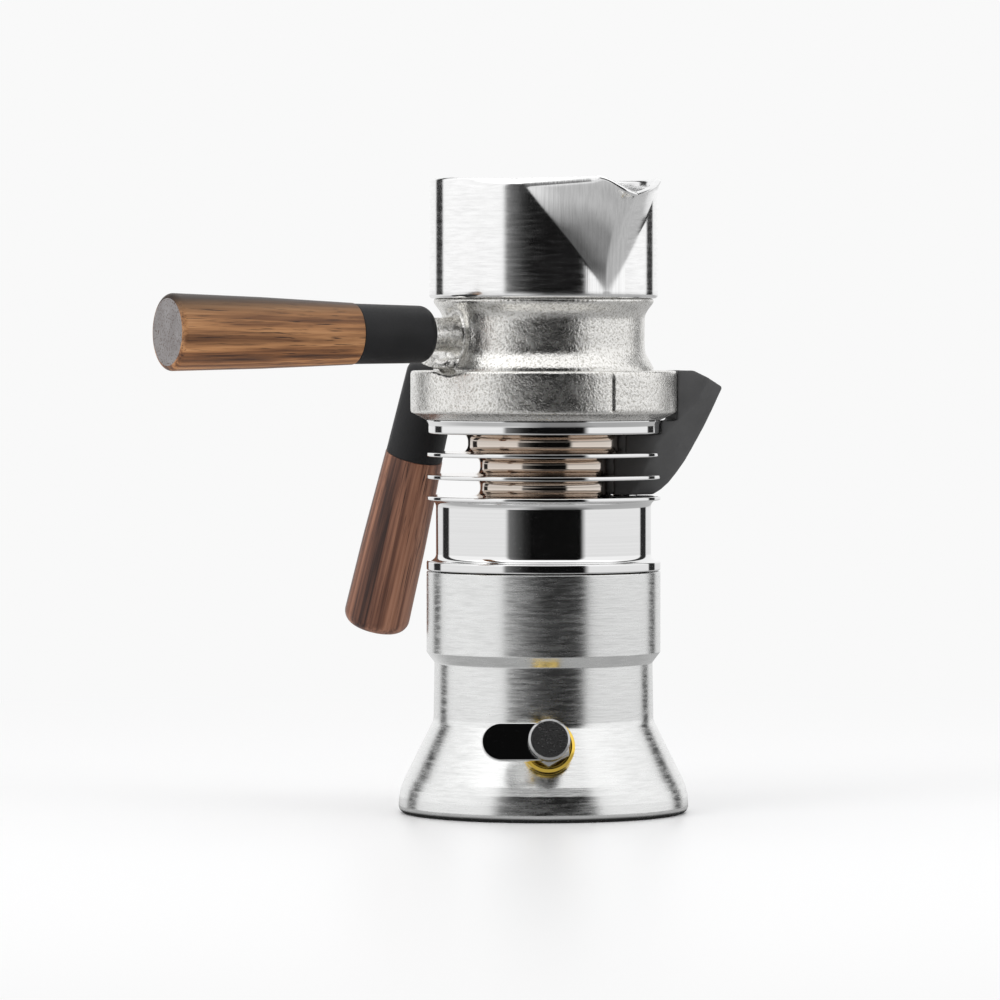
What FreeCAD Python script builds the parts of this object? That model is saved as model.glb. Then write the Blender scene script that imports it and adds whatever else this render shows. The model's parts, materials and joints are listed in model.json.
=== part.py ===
"""A stovetop espresso maker: a stack of turned and cast metal pieces with two wooden handles.

The lower boiler stands on the hob. The upper boiler screws onto it and carries a finned neck, the locking
ring, the rear handle and the filling spout. The brew head drops into the locking ring and carries the cup
and the front handle. Lengths are in millimetres and angles in degrees. The origin is the middle of the
underside, +Z is up, and -Y is the front, where the safety valve is.
"""

import FreeCAD, Part
import math
import os

from FreeCAD import Placement, Rotation, Vector

# Lower boiler
base_radius = 46.0
base_edge_round = 2.6
foot_height = 6.9
bell_round = 19.0
crease_height = 29.4
crease_round = 4.0
waist_radius = 34.9
barrel_radius = 37.1
step_low = 47.7
step_high = 51.0
boiler_height = 76.6
boiler_wall = 3.0
bottom_thickness = 3.0
bottom_lip = 4.5
thread_radius = 31.3
thread_clearance = 0.3
thread_length = 19.0
seal_width = 1.6
seal_depth = 2.1

# Upper boiler and its finned neck
seam_gap = 0.4
flange_thickness = 2.9
upper_boiler_height = 23.5
upper_boiler_radius = 34.1
shell_fillet = 2.2
shell_wall = 2.7
deck_thickness = 4.0
fin_thickness = 1.3
fin_gaps = (5.4, 5.8, 5.9)
fin_fillet = 1.8
neck_radius = 20.2
throat_radius = 24.0
disc_thickness = 4.3
disc_radius = 36.7
disc_flare = 0.5
disc_flare_height = 1.6
spigot_radius = 11.9
riser_radius = 3.0
plug_floor = 10.0
nut_across_flats = 28.0
nut_thickness = 3.2

# Brew group
gasket_inner = 28.0
gasket_outer = 32.6
gasket_thickness = 3.6
gasket_seat = 1.5
screen_radius = 27.0
screen_thickness = 1.2
hole_radius = 0.8
hole_pitch = 6.4
basket_radius = 29.3
basket_wall = 0.6
basket_height = 24.9
basket_rim = 3.0
rim_thickness = 1.0
soft_gap = 0.3

# Locking ring
ring_radius = 42.2
ring_height = 15.7
ring_chamfer = 2.5
ring_mouth = 35.4
ring_bore = 39.2
ring_lip = 3.0
ring_floor = 2.7
lug_angle = 36.0
slot_clearance = 2.0
lug_height = 4.2
index_angle = -59.4
index_width = 1.2
scoop_depth = 1.2
scoop_round = 21.0
scoop_angle = 225.0
ring_screw_radius = 35.3
ring_screw_count = 4

# Brew head and cup
head_height = 38.5
head_waist = 32.1
head_shoulder = 35.0
head_top_round = 0.6
head_clearance = 0.5
cup_height = 38.0
cup_radius = 36.3
cup_wall = 1.6
cup_floor = 2.0
cup_edge_round = 2.0
spout_angle = -57.0
spout_start = 5.7
spout_reach = 15.5
spout_tip_round = 4.5
spout_dip_turn = 27.0
spout_dip_slope = 38.7
spout_dip_round = 8.0
outlet_height = 14.0
outlet_radius = 5.0

# Handles
front_handle_angle = 209.0
front_handle_tilt = 0.5
front_handle_start = 41.3
handle_drop = 11.4
stub_radius = 5.4
stub_root_radius = 11.0
stub_flare_slope = 55.0
gusset_reach = 38.2
gusset_thickness = 10.0
front_ferrule_radii = (8.95, 9.45)
front_ferrule_length = 26.9
front_grip_radii = (9.65, 12.02)
front_grip_length = 63.6
front_grip_round = 1.8
rear_handle_angle = 133.0
rear_handle_tilt = 19.2
rear_handle_radius = 51.2
rear_handle_rise = 1.8
rear_ferrule_radii = (8.6, 9.25)
rear_ferrule_length = 31.5
rear_grip_radii = (9.4, 10.8)
rear_grip_length = 59.7
rear_grip_round = 4.5
ferrule_round = 3.8
stud_radius = 3.0
stud_length = 62.0

# Safety valve, whose lengths run outwards along its own axis from the bell's wall
valve_angle = -88.0
valve_tilt = 15.0
valve_height = 22.8
valve_flange_radius = 8.4
valve_flange_thickness = 3.2
valve_across_flats = 12.6
valve_cap_height = 4.4
valve_travel = 1.5
lever_radius = 5.95
lever_reach = 14.9
lever_thickness = 2.2
knob_radius = 6.5
knob_height = 3.6
knob_chamfer = 0.7

# Main valve and heat exchanger
housing_radius = 10.0
ball_radius = 4.0
ball_travel = 1.5
dip_tube_radius = 3.0
dip_tube_foot = 6.5
coil_radius = 22.0
coil_tube = 1.75
coil_pitch = 4.3
coil_turns = 2

# Filling spout
filler_angle = 15.0
filler_half_width = 6.5
filler_mouth_half_width = 8.0
filler_wall = 1.8
nipple_radius = 4.0
nipple_place = 26.8
nipple_bore = 3.0

# Levels worked out from the sizes above
upper_bottom = boiler_height + seam_gap
deck_top = upper_bottom + upper_boiler_height
fin_low = deck_top + fin_gaps[0]
fin_high = fin_low + fin_thickness + fin_gaps[1]
disc_bottom = fin_high + fin_thickness + fin_gaps[2]
disc_top = disc_bottom + disc_thickness
ring_top = disc_top + ring_height
head_top = disc_top + head_height
rim_level = head_top + cup_height
plug_top = upper_bottom + 3.0
gasket_level = disc_top - gasket_seat + gasket_thickness
rim_bottom = gasket_level + soft_gap
basket_top = rim_bottom + basket_height
handle_level = head_top - handle_drop
thread_bore = thread_radius + thread_clearance
shell_bore = upper_boiler_radius - shell_wall
bell_angle = math.degrees(math.atan2(base_radius - waist_radius, crease_height - foot_height))


def polar(radius, angle, height=0.0):
    """Point at a radius and an angle about the upright axis."""
    turn = math.radians(angle)
    return Vector(radius * math.cos(turn), radius * math.sin(turn), height)


def outline(corners):
    """Closed wire through corners (x, z, round) in the XZ plane, each round a tangent arc."""
    count = len(corners)
    edges = []
    ends = []
    for index in range(count):
        here = Vector(corners[index][0], 0, corners[index][1])
        before = Vector(corners[index - 1][0], 0, corners[index - 1][1])
        after = Vector(corners[(index + 1) % count][0], 0, corners[(index + 1) % count][1])
        radius = corners[index][2] if len(corners[index]) > 2 else 0.0
        if radius == 0.0:
            ends.append((here, here, None))
            continue
        back = (before - here).normalize()
        ahead = (after - here).normalize()
        half = back.getAngle(ahead) / 2
        reach = radius / math.tan(half)
        middle = (back + ahead).normalize() * (radius / math.sin(half) - radius)
        ends.append((here + back * reach, here + ahead * reach, here + middle))
    for index in range(count):
        first, last, middle = ends[index]
        if middle is not None:
            edges.append(Part.Arc(first, middle, last).toShape())
        following = ends[(index + 1) % count][0]
        if last.distanceToPoint(following) > 1e-6:
            edges.append(Part.LineSegment(last, following).toShape())
    return Part.Wire(edges)


def turned(corners):
    """Solid turned about Z from an outline."""
    return Part.Face(outline(corners)).revolve(Vector(0, 0, 0), Vector(0, 0, 1), 360)


def rod(radius, low, high, centre=Vector(0, 0, 0)):
    """Upright round bar between two levels."""
    return Part.makeCylinder(radius, high - low, Vector(centre.x, centre.y, low))


def pipe_ring(outer, inner, low, high):
    """Upright tube between two levels."""
    return rod(outer, low, high).cut(rod(inner, low - 1, high + 1))


def slab(corners, thickness, angle):
    """Plate with a side outline, upright in the radial plane at an angle and centred on it."""
    plate = Part.Face(outline(corners)).extrude(Vector(0, thickness, 0))
    plate.translate(Vector(0, -thickness / 2, 0))
    return turn_about_z(plate, angle)


def turn_about_z(shape, angle):
    """Copy of a shape turned about the upright axis."""
    copy = shape.copy()
    copy.rotate(Vector(0, 0, 0), Vector(0, 0, 1), angle)
    return copy


def hexagon(across_flats, low, high):
    """Upright six-sided bar."""
    corner = across_flats / math.sqrt(3)
    points = [polar(corner, 60 * step, low) for step in range(7)]
    return Part.Face(Part.makePolygon(points)).extrude(Vector(0, 0, high - low))


def sector(outer, inner, low, high, middle, width):
    """Part of a ring that spans an angle about its middle angle."""
    wedge = Part.makeCylinder(outer, high - low, Vector(0, 0, low), Vector(0, 0, 1), width)
    wedge = turn_about_z(wedge, middle - width / 2)
    return wedge.cut(rod(inner, low - 1, high + 1))


def along(start, direction):
    """Placement that puts a piece drawn along +Z from the origin on a line."""
    return Placement(start, Rotation(Vector(0, 0, 1), direction))


def placed(shape, placement):
    """Copy of a shape moved to a placement."""
    copy = shape.copy()
    copy.Placement = placement.multiply(copy.Placement)
    return copy


def arc_towards(first, corner, last):
    """Arc from first to last that is tangent to both lines to the corner."""
    chord = (first + last) * 0.5
    half = first.distanceToPoint(last) / 2
    turn = (corner - first).getAngle(last - first)
    lift = (corner - chord).normalize() * (half * math.tan(turn / 2))
    return Part.Arc(first, chord + lift, last).toShape()


def biarc(first, first_way, last, last_way):
    """Two tangent arcs that join two points in their two directions."""
    gap = last - first
    ways = first_way + last_way
    spread = 2 * (1 - first_way.dot(last_way))
    along_ways = gap.dot(ways)
    if abs(spread) < 1e-9:
        reach = gap.dot(gap) / (4 * gap.dot(last_way))
    else:
        reach = (-along_ways + math.sqrt(along_ways ** 2 + spread * gap.dot(gap))) / spread
    corner_a = first + first_way * reach
    corner_b = last - last_way * reach
    middle = (corner_a + corner_b) * 0.5
    return [arc_towards(first, corner_a, middle), arc_towards(middle, corner_b, last)]


def coil_edges(radius, pitch, turns, low, level_ends):
    """Quarter-turn biarcs of a coil about Z that starts and ends on the +X side."""
    rise = pitch / 4
    slope = pitch / (2 * math.pi * radius)
    edges = []
    count = int(4 * turns)
    for quarter in range(count):
        ends = []
        for step in (quarter, quarter + 1):
            turn = math.radians(90 * step)
            flat = level_ends and step in (0, count)
            way = Vector(-math.sin(turn), math.cos(turn), 0 if flat else slope).normalize()
            ends.append((Vector(radius * math.cos(turn), radius * math.sin(turn), low + rise * step), way))
        edges += biarc(ends[0][0], ends[0][1], ends[1][0], ends[1][1])
    return edges


def round_pipe(edges, radius):
    """Round bar swept along tangent edges."""
    path = Part.Wire(edges)
    start = edges[0].valueAt(edges[0].FirstParameter)
    way = edges[0].tangentAt(edges[0].FirstParameter)
    circle = Part.Wire(Part.Circle(start, way, radius).toShape())
    return path.makePipeShell([circle], True, False)


def lower_boiler():
    """Bell-shaped pressure vessel with a thick threaded barrel and the valve's boss."""
    outside = [(0, 0), (base_radius, 0, base_edge_round), (base_radius, foot_height, bell_round),
               (waist_radius, crease_height, crease_round), (waist_radius - 0.3, step_low, 0.6),
               (barrel_radius, step_high, 0.4), (barrel_radius, boiler_height, 0.3), (0, boiler_height)]
    lip = base_radius - bottom_lip
    slant = boiler_wall / math.cos(math.radians(bell_angle))
    inner_foot = foot_height - (slant - boiler_wall) / math.tan(math.radians(bell_angle))
    inner_round = min(bell_round - boiler_wall,
                      0.95 * (inner_foot - bottom_thickness) / math.tan(math.radians(bell_angle / 2)))
    seal_floor = boiler_height - seal_depth
    seal_bore = thread_bore + seal_width + soft_gap
    inside = [(0, -1), (lip, -1), (lip, bottom_thickness), (base_radius - boiler_wall, bottom_thickness),
              (base_radius - boiler_wall, inner_foot, inner_round),
              (thread_bore, crease_height + waist_radius - thread_bore - slant, crease_round),
              (thread_bore, seal_floor), (seal_bore, seal_floor), (seal_bore, boiler_height + 1),
              (0, boiler_height + 1)]
    boss = placed(rod(valve_flange_radius - 0.8, -boiler_wall, 1.0), valve_place())
    facing = placed(rod(valve_flange_radius + 0.6, 1.0, 12.0), valve_place())
    drilling = placed(rod(valve_thread_radius(), -8.0, 2.0), valve_place())
    return turned(outside).fuse(boss).cut([turned(inside), facing, drilling]).removeSplitter()


def boiler_bottom_plate():
    """Disc welded into the bell's foot."""
    return rod(base_radius - bottom_lip, 0, bottom_thickness)


def valve_place():
    """Where the safety valve's axis leaves the bell's wall, pointing outwards and a little up."""
    wall = waist_radius + (crease_height - valve_height) * math.tan(math.radians(bell_angle))
    tilt = math.radians(valve_tilt)
    way = polar(math.cos(tilt), valve_angle, math.sin(tilt))
    return along(polar(wall, valve_angle, valve_height), way)


def valve_thread_radius():
    """Thread of the safety valve, which leaves a shoulder inside its flange."""
    return valve_flange_radius - 2.6


def safety_valve_body():
    """Turned brass body with a round flange, bored for the spring and the poppet."""
    thread = valve_thread_radius()
    flange_low = 1.6
    flange_high = flange_low + valve_flange_thickness
    corners = [(0, -6), (thread, -6, 0.5), (thread, flange_low), (valve_flange_radius, flange_low, 0.4),
               (valve_flange_radius, flange_high, 0.9), (0, flange_high)]
    bore = [(0, -7), (1.6, -7), (1.6, -5), (4.5, -5), (4.5, flange_high + 1), (0, flange_high + 1)]
    return placed(turned(corners).cut(turned(bore)), valve_place())


def safety_valve_washer():
    """Flat seal between the boss and the valve's flange."""
    return placed(pipe_ring(valve_flange_radius - 1.0, valve_thread_radius() + 0.05, 1.0, 1.6), valve_place())


def safety_valve_cap():
    """Hexagonal cap that holds the spring and guides the stem, with a corner straight down."""
    low = 1.6 + valve_flange_thickness
    high = low + valve_cap_height
    cap = turn_about_z(hexagon(valve_across_flats, low, high), 30).fuse(rod(4.45, low - 2.8, low))
    crown = turned([(0, low - 3), (valve_across_flats / math.sqrt(3) + 0.1, low - 3),
                    (valve_across_flats / math.sqrt(3) + 0.1, high - 1.0), (valve_across_flats / 2 - 0.3, high),
                    (0, high)])
    guide = rod(2.05, low - 4, high + 1)
    return placed(level_sideways(cap.common(crown).cut(guide)), valve_place())


def safety_valve_spring():
    """Short closing spring around the stem, with room for the stem's travel."""
    wire = 0.45
    edges = coil_edges(3.3, 1.4, 1.5, -0.75, False)
    return placed(round_pipe(edges, wire), valve_place())


def safety_valve_stem():
    """Stem with its poppet, which the knob and lever pull outwards."""
    knob_bottom = 1.6 + valve_flange_thickness + valve_cap_height + 0.4 + lever_thickness
    corners = [(0, -4.7), (3.8, -4.7, 0.4), (3.8, -2.9, 0.3), (1.95, -2.9), (1.95, knob_bottom), (0, knob_bottom)]
    return placed(turned(corners), valve_place())


def safety_valve_lever():
    """Polished plate with round ends, clamped under the knob and level with the hob."""
    low = 1.6 + valve_flange_thickness + valve_cap_height + 0.4
    hub = rod(lever_radius, 0, lever_thickness)
    end = rod(lever_radius, 0, lever_thickness, Vector(-lever_reach, 0, 0))
    bar = Part.makeBox(lever_reach, 2 * lever_radius, lever_thickness, Vector(-lever_reach, -lever_radius, 0))
    plate = hub.fuse([end, bar]).removeSplitter()
    rims = [edge for edge in plate.Edges if abs(edge.BoundBox.ZMax - lever_thickness) < 1e-6
            and abs(edge.BoundBox.ZMin - lever_thickness) < 1e-6]
    plate = plate.makeFillet(0.4, rims).cut(rod(1.95, -1, lever_thickness + 1))
    plate.translate(Vector(0, 0, low))
    return placed(level_sideways(plate), valve_place())


def level_sideways(shape):
    """Turn a piece about the valve's own axis until its X runs level along the front."""
    place = valve_place()
    sideways = place.Rotation.inverted().multVec(polar(1.0, valve_angle + 90))
    angle = math.degrees(math.atan2(sideways.y, sideways.x))
    return turn_about_z(shape, angle)


def safety_valve_knob():
    """Round knob with a chamfered edge on the end of the stem."""
    low = 1.6 + valve_flange_thickness + valve_cap_height + 0.4 + lever_thickness
    high = low + knob_height
    corners = [(0, low), (knob_radius - 0.4, low), (knob_radius, low + 0.4), (knob_radius, high - knob_chamfer),
               (knob_radius - knob_chamfer, high), (0, high)]
    return placed(turned(corners), valve_place())


def boiler_gasket():
    """Seal ring in the step at the lower boiler's mouth."""
    low = boiler_height - seal_depth + soft_gap
    inner = thread_bore
    return turned([(inner, low, 0.5), (inner + seal_width, low, 0.5),
                   (inner + seal_width, upper_bottom - 0.2, 0.5), (inner, upper_bottom - 0.2, 0.5)])


def boiler_plug():
    """Threaded plug that closes the lower boiler and floors the upper one."""
    foot = upper_bottom - thread_length
    pocket = thread_radius - 4.5
    corners = [(housing_radius, plug_top), (thread_radius, plug_top), (thread_radius, foot, 0.8), (pocket, foot),
               (pocket, plug_top - plug_floor, 2.0), (housing_radius, plug_top - plug_floor)]
    return turned(corners)


def upper_boiler_shell():
    """Polished cup turned upside down, with a flange, concave flares and a deck that ends in the lowest fin."""
    flange_top = upper_bottom + flange_thickness
    fin_under = deck_top - fin_thickness
    outside = [(0, upper_bottom), (barrel_radius, upper_bottom, 0.4), (barrel_radius, flange_top, 0.5),
               (upper_boiler_radius, flange_top, shell_fillet), (upper_boiler_radius, fin_under, shell_fillet),
               (barrel_radius, fin_under, 0.3), (barrel_radius, deck_top, 0.4), (0, deck_top)]
    inside = [(0, upper_bottom - 1), (thread_radius, upper_bottom - 1), (thread_radius, plug_top),
              (shell_bore, plug_top), (shell_bore, deck_top - deck_thickness, 1.5),
              (0, deck_top - deck_thickness)]
    neck_hole = rod(spigot_radius, deck_top - 10, deck_top + 1)
    filler_hole = rod(nipple_radius, deck_top - 10, deck_top + 1, polar(nipple_place, filler_angle))
    return turned(outside).cut(turned(inside)).cut(neck_hole).cut(filler_hole)


def finned_neck():
    """Turned neck that cools the brew water, with two thin fins and the thick top disc."""
    foot = deck_top - deck_thickness - nut_thickness - 3.0
    low_top = fin_low + fin_thickness
    high_top = fin_high + fin_thickness
    groove = disc_top - gasket_seat
    plenum = disc_top - 3.0
    corners = [(riser_radius, foot), (spigot_radius, foot, 0.5), (spigot_radius, deck_top), (neck_radius, deck_top),
               (neck_radius, fin_low, fin_fillet), (barrel_radius, fin_low, 0.3), (barrel_radius, low_top, 0.3),
               (neck_radius, low_top, fin_fillet), (neck_radius, fin_high, fin_fillet),
               (barrel_radius, fin_high, 0.3), (barrel_radius, high_top, 0.3),
               (throat_radius, high_top, fin_fillet), (throat_radius, disc_bottom, fin_fillet),
               (disc_radius, disc_bottom, 0.6), (disc_radius, disc_top - disc_flare_height, 1.5),
               (disc_radius + disc_flare, disc_top - 0.3), (disc_radius + disc_flare, disc_top),
               (gasket_outer + 0.1, disc_top),
               (gasket_outer + 0.1, groove), (gasket_inner - 0.1, groove), (gasket_inner - 0.1, disc_top),
               (screen_radius + 0.1, disc_top), (screen_radius + 0.1, disc_top - screen_thickness),
               (screen_radius - 1.5, disc_top - screen_thickness), (screen_radius - 1.5, plenum),
               (riser_radius, plenum)]
    neck = turned(corners)
    width = 2 * (filler_half_width + soft_gap)
    low = deck_top + 0.2
    notch = Part.makeBox(barrel_radius, width, disc_bottom - 0.5 - low, Vector(neck_radius - 5, -width / 2, low))
    notch = turn_about_z(notch, filler_angle).cut(rod(neck_radius + fin_fillet, low - 1, disc_bottom))
    notch = notch.cut(rod(throat_radius + fin_fillet, high_top, disc_bottom))
    inlet = Part.makeCylinder(coil_tube, spigot_radius + 2, Vector(0, coil_bend(), coil_top()), Vector(1, 0, 0))
    screw_holes = ring_screw_bars(0.05, 0.0)
    return neck.cut(notch).cut(inlet).cut(screw_holes)


def neck_nut():
    """Nut inside the upper boiler that clamps the neck to the deck."""
    high = deck_top - deck_thickness
    return hexagon(nut_across_flats, high - nut_thickness, high).cut(rod(spigot_radius, 0, deck_top))


def coil_low():
    """Level of the heat exchanger's lowest turn."""
    return plug_top + coil_tube + 1.2


def coil_top():
    """Level of the heat exchanger's highest turn."""
    return coil_low() + coil_pitch * coil_turns


def coil_bend():
    """Radius of the bends that lead the heat exchanger's ends inwards."""
    return 5.0


def heat_exchanger_coil():
    """Two turns of tube from the main valve's side up to the neck's spigot."""
    bend = coil_bend()
    straight = coil_radius - bend
    low = coil_low()
    high = coil_top()
    start = math.sqrt(housing_radius ** 2 - bend ** 2)
    stop = math.sqrt(spigot_radius ** 2 - bend ** 2)
    cos45 = math.cos(math.radians(45))
    lead_in = Part.LineSegment(Vector(start, -bend, low), Vector(straight, -bend, low)).toShape()
    bend_in = Part.Arc(Vector(straight, -bend, low), Vector(straight + bend * cos45, -bend * cos45, low),
                       Vector(coil_radius, 0, low)).toShape()
    bend_out = Part.Arc(Vector(coil_radius, 0, high), Vector(straight + bend * cos45, bend * cos45, high),
                        Vector(straight, bend, high)).toShape()
    lead_out = Part.LineSegment(Vector(straight, bend, high), Vector(stop, bend, high)).toShape()
    turns = coil_edges(coil_radius, coil_pitch, coil_turns, low, True)
    tube = round_pipe([lead_in, bend_in] + turns + [bend_out, lead_out], coil_tube)
    return tube.cut(rod(housing_radius, low - 5, low + 4)).cut(rod(spigot_radius, high - 4, high + 5))


def housing_top():
    """Top of the main valve's housing, below the neck's spigot."""
    return deck_top - deck_thickness - nut_thickness - 3.6


def seat_level():
    """Level of the main valve's seat."""
    return plug_top - 6.5


def main_valve_housing():
    """Turret through the plug's middle that holds the ball, the spring and the dip tube."""
    low = plug_top - plug_floor - 4.0
    seat = seat_level()
    chamber = ball_radius + 0.6
    corners = [(0, low), (housing_radius, low), (housing_radius, plug_top),
               (housing_radius, housing_top(), 0.6), (0, housing_top())]
    bore = [(0, low - 1), (dip_tube_radius, low - 1), (dip_tube_radius, low + 3.0), (2.2, low + 3.0), (2.2, seat),
            (chamber, seat + chamber - 2.2), (chamber, housing_top() - 2.6), (chamber + 0.8, housing_top() - 2.6),
            (chamber + 0.8, housing_top() + 1), (0, housing_top() + 1)]
    outlet = Part.makeCylinder(coil_tube - 0.4, housing_radius, Vector(chamber - 1.0, -coil_bend() + 2.5, coil_low()),
                               Vector(1, 0, 0))
    return turned(corners).cut(turned(bore)).cut(outlet)


def main_valve_ball():
    """Steel ball that the spring holds on its seat."""
    centre = seat_level() + ball_radius * math.sqrt(2) - 2.2 + 0.06
    ball = Part.makeSphere(ball_radius)
    ball.translate(Vector(0, 0, centre))
    return ball


def main_valve_spring():
    """Spring between the ball and the adjusting screw."""
    wire = 0.5
    ball_centre = seat_level() + ball_radius * math.sqrt(2) - 2.2 + 0.06
    low = ball_centre + 3.0
    high = housing_top() - 2.6 - wire - 0.1
    turns = 3.0
    edges = coil_edges(3.4, (high - low) / turns, turns, low, False)
    return round_pipe(edges, wire)


def main_valve_screw():
    """Adjusting screw on top of the spring, with a slot across it."""
    low = housing_top() - 2.6
    screw = rod(ball_radius + 1.4, low, housing_top())
    slot = Part.makeBox(14, 1.2, 1.2, Vector(-7, -0.6, housing_top() - 1.0))
    return screw.cut(slot)


def dip_tube():
    """Tube that takes the water from the bottom of the lower boiler."""
    top = plug_top - plug_floor - 1.0
    tube = pipe_ring(dip_tube_radius, dip_tube_radius - 0.8, dip_tube_foot, top)
    mouth = Part.makeBox(10, 10, 10, Vector(-5, -5, dip_tube_foot - 10))
    mouth.rotate(Vector(-5, 0, dip_tube_foot), Vector(0, 1, 0), -35)
    return tube.cut(mouth)


def perforated(plate, reach, level):
    """Plate with small holes in rings about its middle."""
    holes = []
    rings = int(reach / hole_pitch)
    for ring in range(1, rings + 1):
        for step in range(6 * ring):
            holes.append(rod(hole_radius, level - 5, level + 5, polar(ring * hole_pitch, 60.0 * step / ring)))
    return plate.cut(holes)


def group_gasket():
    """Rubber ring on the top disc that the basket's rim presses on."""
    low = disc_top - gasket_seat
    return turned([(gasket_inner, low), (gasket_outer, low), (gasket_outer, gasket_level, 0.6),
                   (gasket_inner, gasket_level, 0.6)])


def shower_screen():
    """Perforated disc that spreads the water under the coffee."""
    low = disc_top - screen_thickness
    return perforated(rod(screen_radius, low, disc_top), screen_radius - 5, disc_top)


def filter_basket():
    """Upturned basket with its rim below and its closed end above."""
    inner = basket_radius - basket_wall
    outer_rim = basket_radius + basket_rim
    top = basket_top
    corners = [(inner, rim_bottom), (outer_rim, rim_bottom, 0.3), (outer_rim, rim_bottom + rim_thickness, 0.3),
               (basket_radius, rim_bottom + rim_thickness, 0.3), (basket_radius, top, 2.5), (0, top),
               (0, top - 0.8), (inner, top - 0.8, 1.8)]
    return turned(corners)


def basket_clip():
    """Split spring wire that holds the basket in the head."""
    wire = 0.55
    clip = Part.makeTorus(basket_radius + 0.1 + wire, wire)
    gap = Part.makeBox(20, 8, 4, Vector(basket_radius - 8, -4, -2))
    clip = turn_about_z(clip.cut(gap), front_handle_angle)
    clip.translate(Vector(0, 0, clip_level()))
    return clip


def clip_level():
    """Level of the wire that holds the basket."""
    return rim_bottom + rim_thickness + 8.0


def lug_turns():
    """Angles of the three bayonet lugs, the first one under the front handle."""
    return [front_handle_angle + 120 * step for step in range(3)]


def group_ring():
    """Cast locking ring with bayonet slots, an index mark, and the bracket of the rear handle."""
    floor = disc_top + ring_floor
    lip = ring_top - ring_lip
    inner = gasket_outer + 0.6
    corners = [(inner, disc_top), (barrel_radius, disc_top), (ring_radius, disc_top + ring_chamfer, 0.4),
               (ring_radius, ring_top, 0.8), (ring_mouth, ring_top, 0.4), (ring_mouth, lip), (ring_bore, lip),
               (ring_bore, floor), (inner, floor)]
    ring = turned(corners)
    slots = [sector(ring_bore, ring_mouth - 2, lip - 1, ring_top + 1, angle, lug_angle + 2 * slot_clearance)
             for angle in lug_turns()]
    index = rod(index_width / 2, floor, ring_top - 0.5, polar(ring_radius + 0.15, index_angle))
    scoop_start = polar(ring_mouth - 2, scoop_angle, ring_top + scoop_round - scoop_depth)
    scoop = Part.makeCylinder(scoop_round, 14, scoop_start, polar(1.0, scoop_angle))
    ring = ring.fuse(rear_bracket()).cut(slots).cut(scoop).cut(index)
    return ring.cut(ring_screw_bars(0.05, 0.05)).cut(rear_stud(0.05)).removeSplitter()


def rear_place():
    """Where the rear handle's axis starts, pointing down and away from the body."""
    tilt = math.radians(rear_handle_tilt)
    way = polar(math.sin(tilt), rear_handle_angle, -math.cos(tilt))
    return along(polar(rear_handle_radius, rear_handle_angle, ring_top + rear_handle_rise), way)


def tapered_link(start, end, start_radius, end_radius):
    """Tapered round link with a ball at each end."""
    reach = end - start
    lean = math.asin((start_radius - end_radius) / reach.Length)
    side = Vector(math.cos(lean), 0, math.sin(lean))
    high = Vector(0, 0, reach.Length)
    low_pole = Vector(0, 0, -start_radius)
    high_pole = high + Vector(0, 0, end_radius)
    half_low = Vector(math.cos((lean - math.pi / 2) / 2), 0, math.sin((lean - math.pi / 2) / 2))
    half_high = Vector(math.cos((lean + math.pi / 2) / 2), 0, math.sin((lean + math.pi / 2) / 2))
    profile = [Part.Arc(low_pole, half_low * start_radius, side * start_radius).toShape(),
               Part.LineSegment(side * start_radius, high + side * end_radius).toShape(),
               Part.Arc(high + side * end_radius, high + half_high * end_radius, high_pole).toShape(),
               Part.LineSegment(high_pole, low_pole).toShape()]
    link = Part.Face(Part.Wire(profile)).revolve(Vector(0, 0, 0), Vector(0, 0, 1), 360)
    return placed(link, along(start, reach))


def rear_bracket():
    """Cast arm that rises from the locking ring's lip and turns over into the rear handle's ferrule."""
    place = rear_place()
    shoulder_radius = 3.7
    top = place.multVec(Vector(0, 0, -4.6))
    shoulder = polar(ring_mouth + shoulder_radius + 0.3, rear_handle_angle, ring_top + 4.2)
    stub = placed(rod(stub_radius, -4.6, 2.0), place)
    leg = rod(shoulder_radius - 0.1, ring_top - 1.5, shoulder.z, shoulder)
    return tapered_link(top, shoulder, stub_radius + 0.1, shoulder_radius).fuse([stub, leg])


def rear_stud(clearance):
    """Threaded stud of the rear handle, or with a clearance the hole for it."""
    return placed(rod(stud_radius + clearance, -3.0 - clearance, stud_length), rear_place())


def ring_screw_bars(clearance, head_clearance):
    """Screws that hold the locking ring on the disc, or with clearances their holes."""
    bars = []
    floor = disc_top + ring_floor
    for step in range(ring_screw_count):
        place = polar(ring_screw_radius, 45 + 360 * step / ring_screw_count)
        shank = rod(1.0 + clearance, disc_bottom + 0.8, floor - 0.6, place)
        head = rod(1.9 + head_clearance, floor - 1.2, floor + head_clearance, place)
        bars.append(shank.fuse(head))
    return bars


def ring_screws():
    """The locking ring's screws, sunk into its floor."""
    return Part.makeCompound([bar.removeSplitter() for bar in ring_screw_bars(0.0, 0.0)])


def filler_nipple():
    """Short tube through the deck that the filling spout is pushed onto."""
    place = polar(nipple_place, filler_angle)
    low = deck_top - deck_thickness - 1.5
    tube = rod(nipple_radius, low, deck_top + 5.5, place)
    return tube.cut(rod(nipple_bore, low - 1, deck_top + 7, place))


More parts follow.
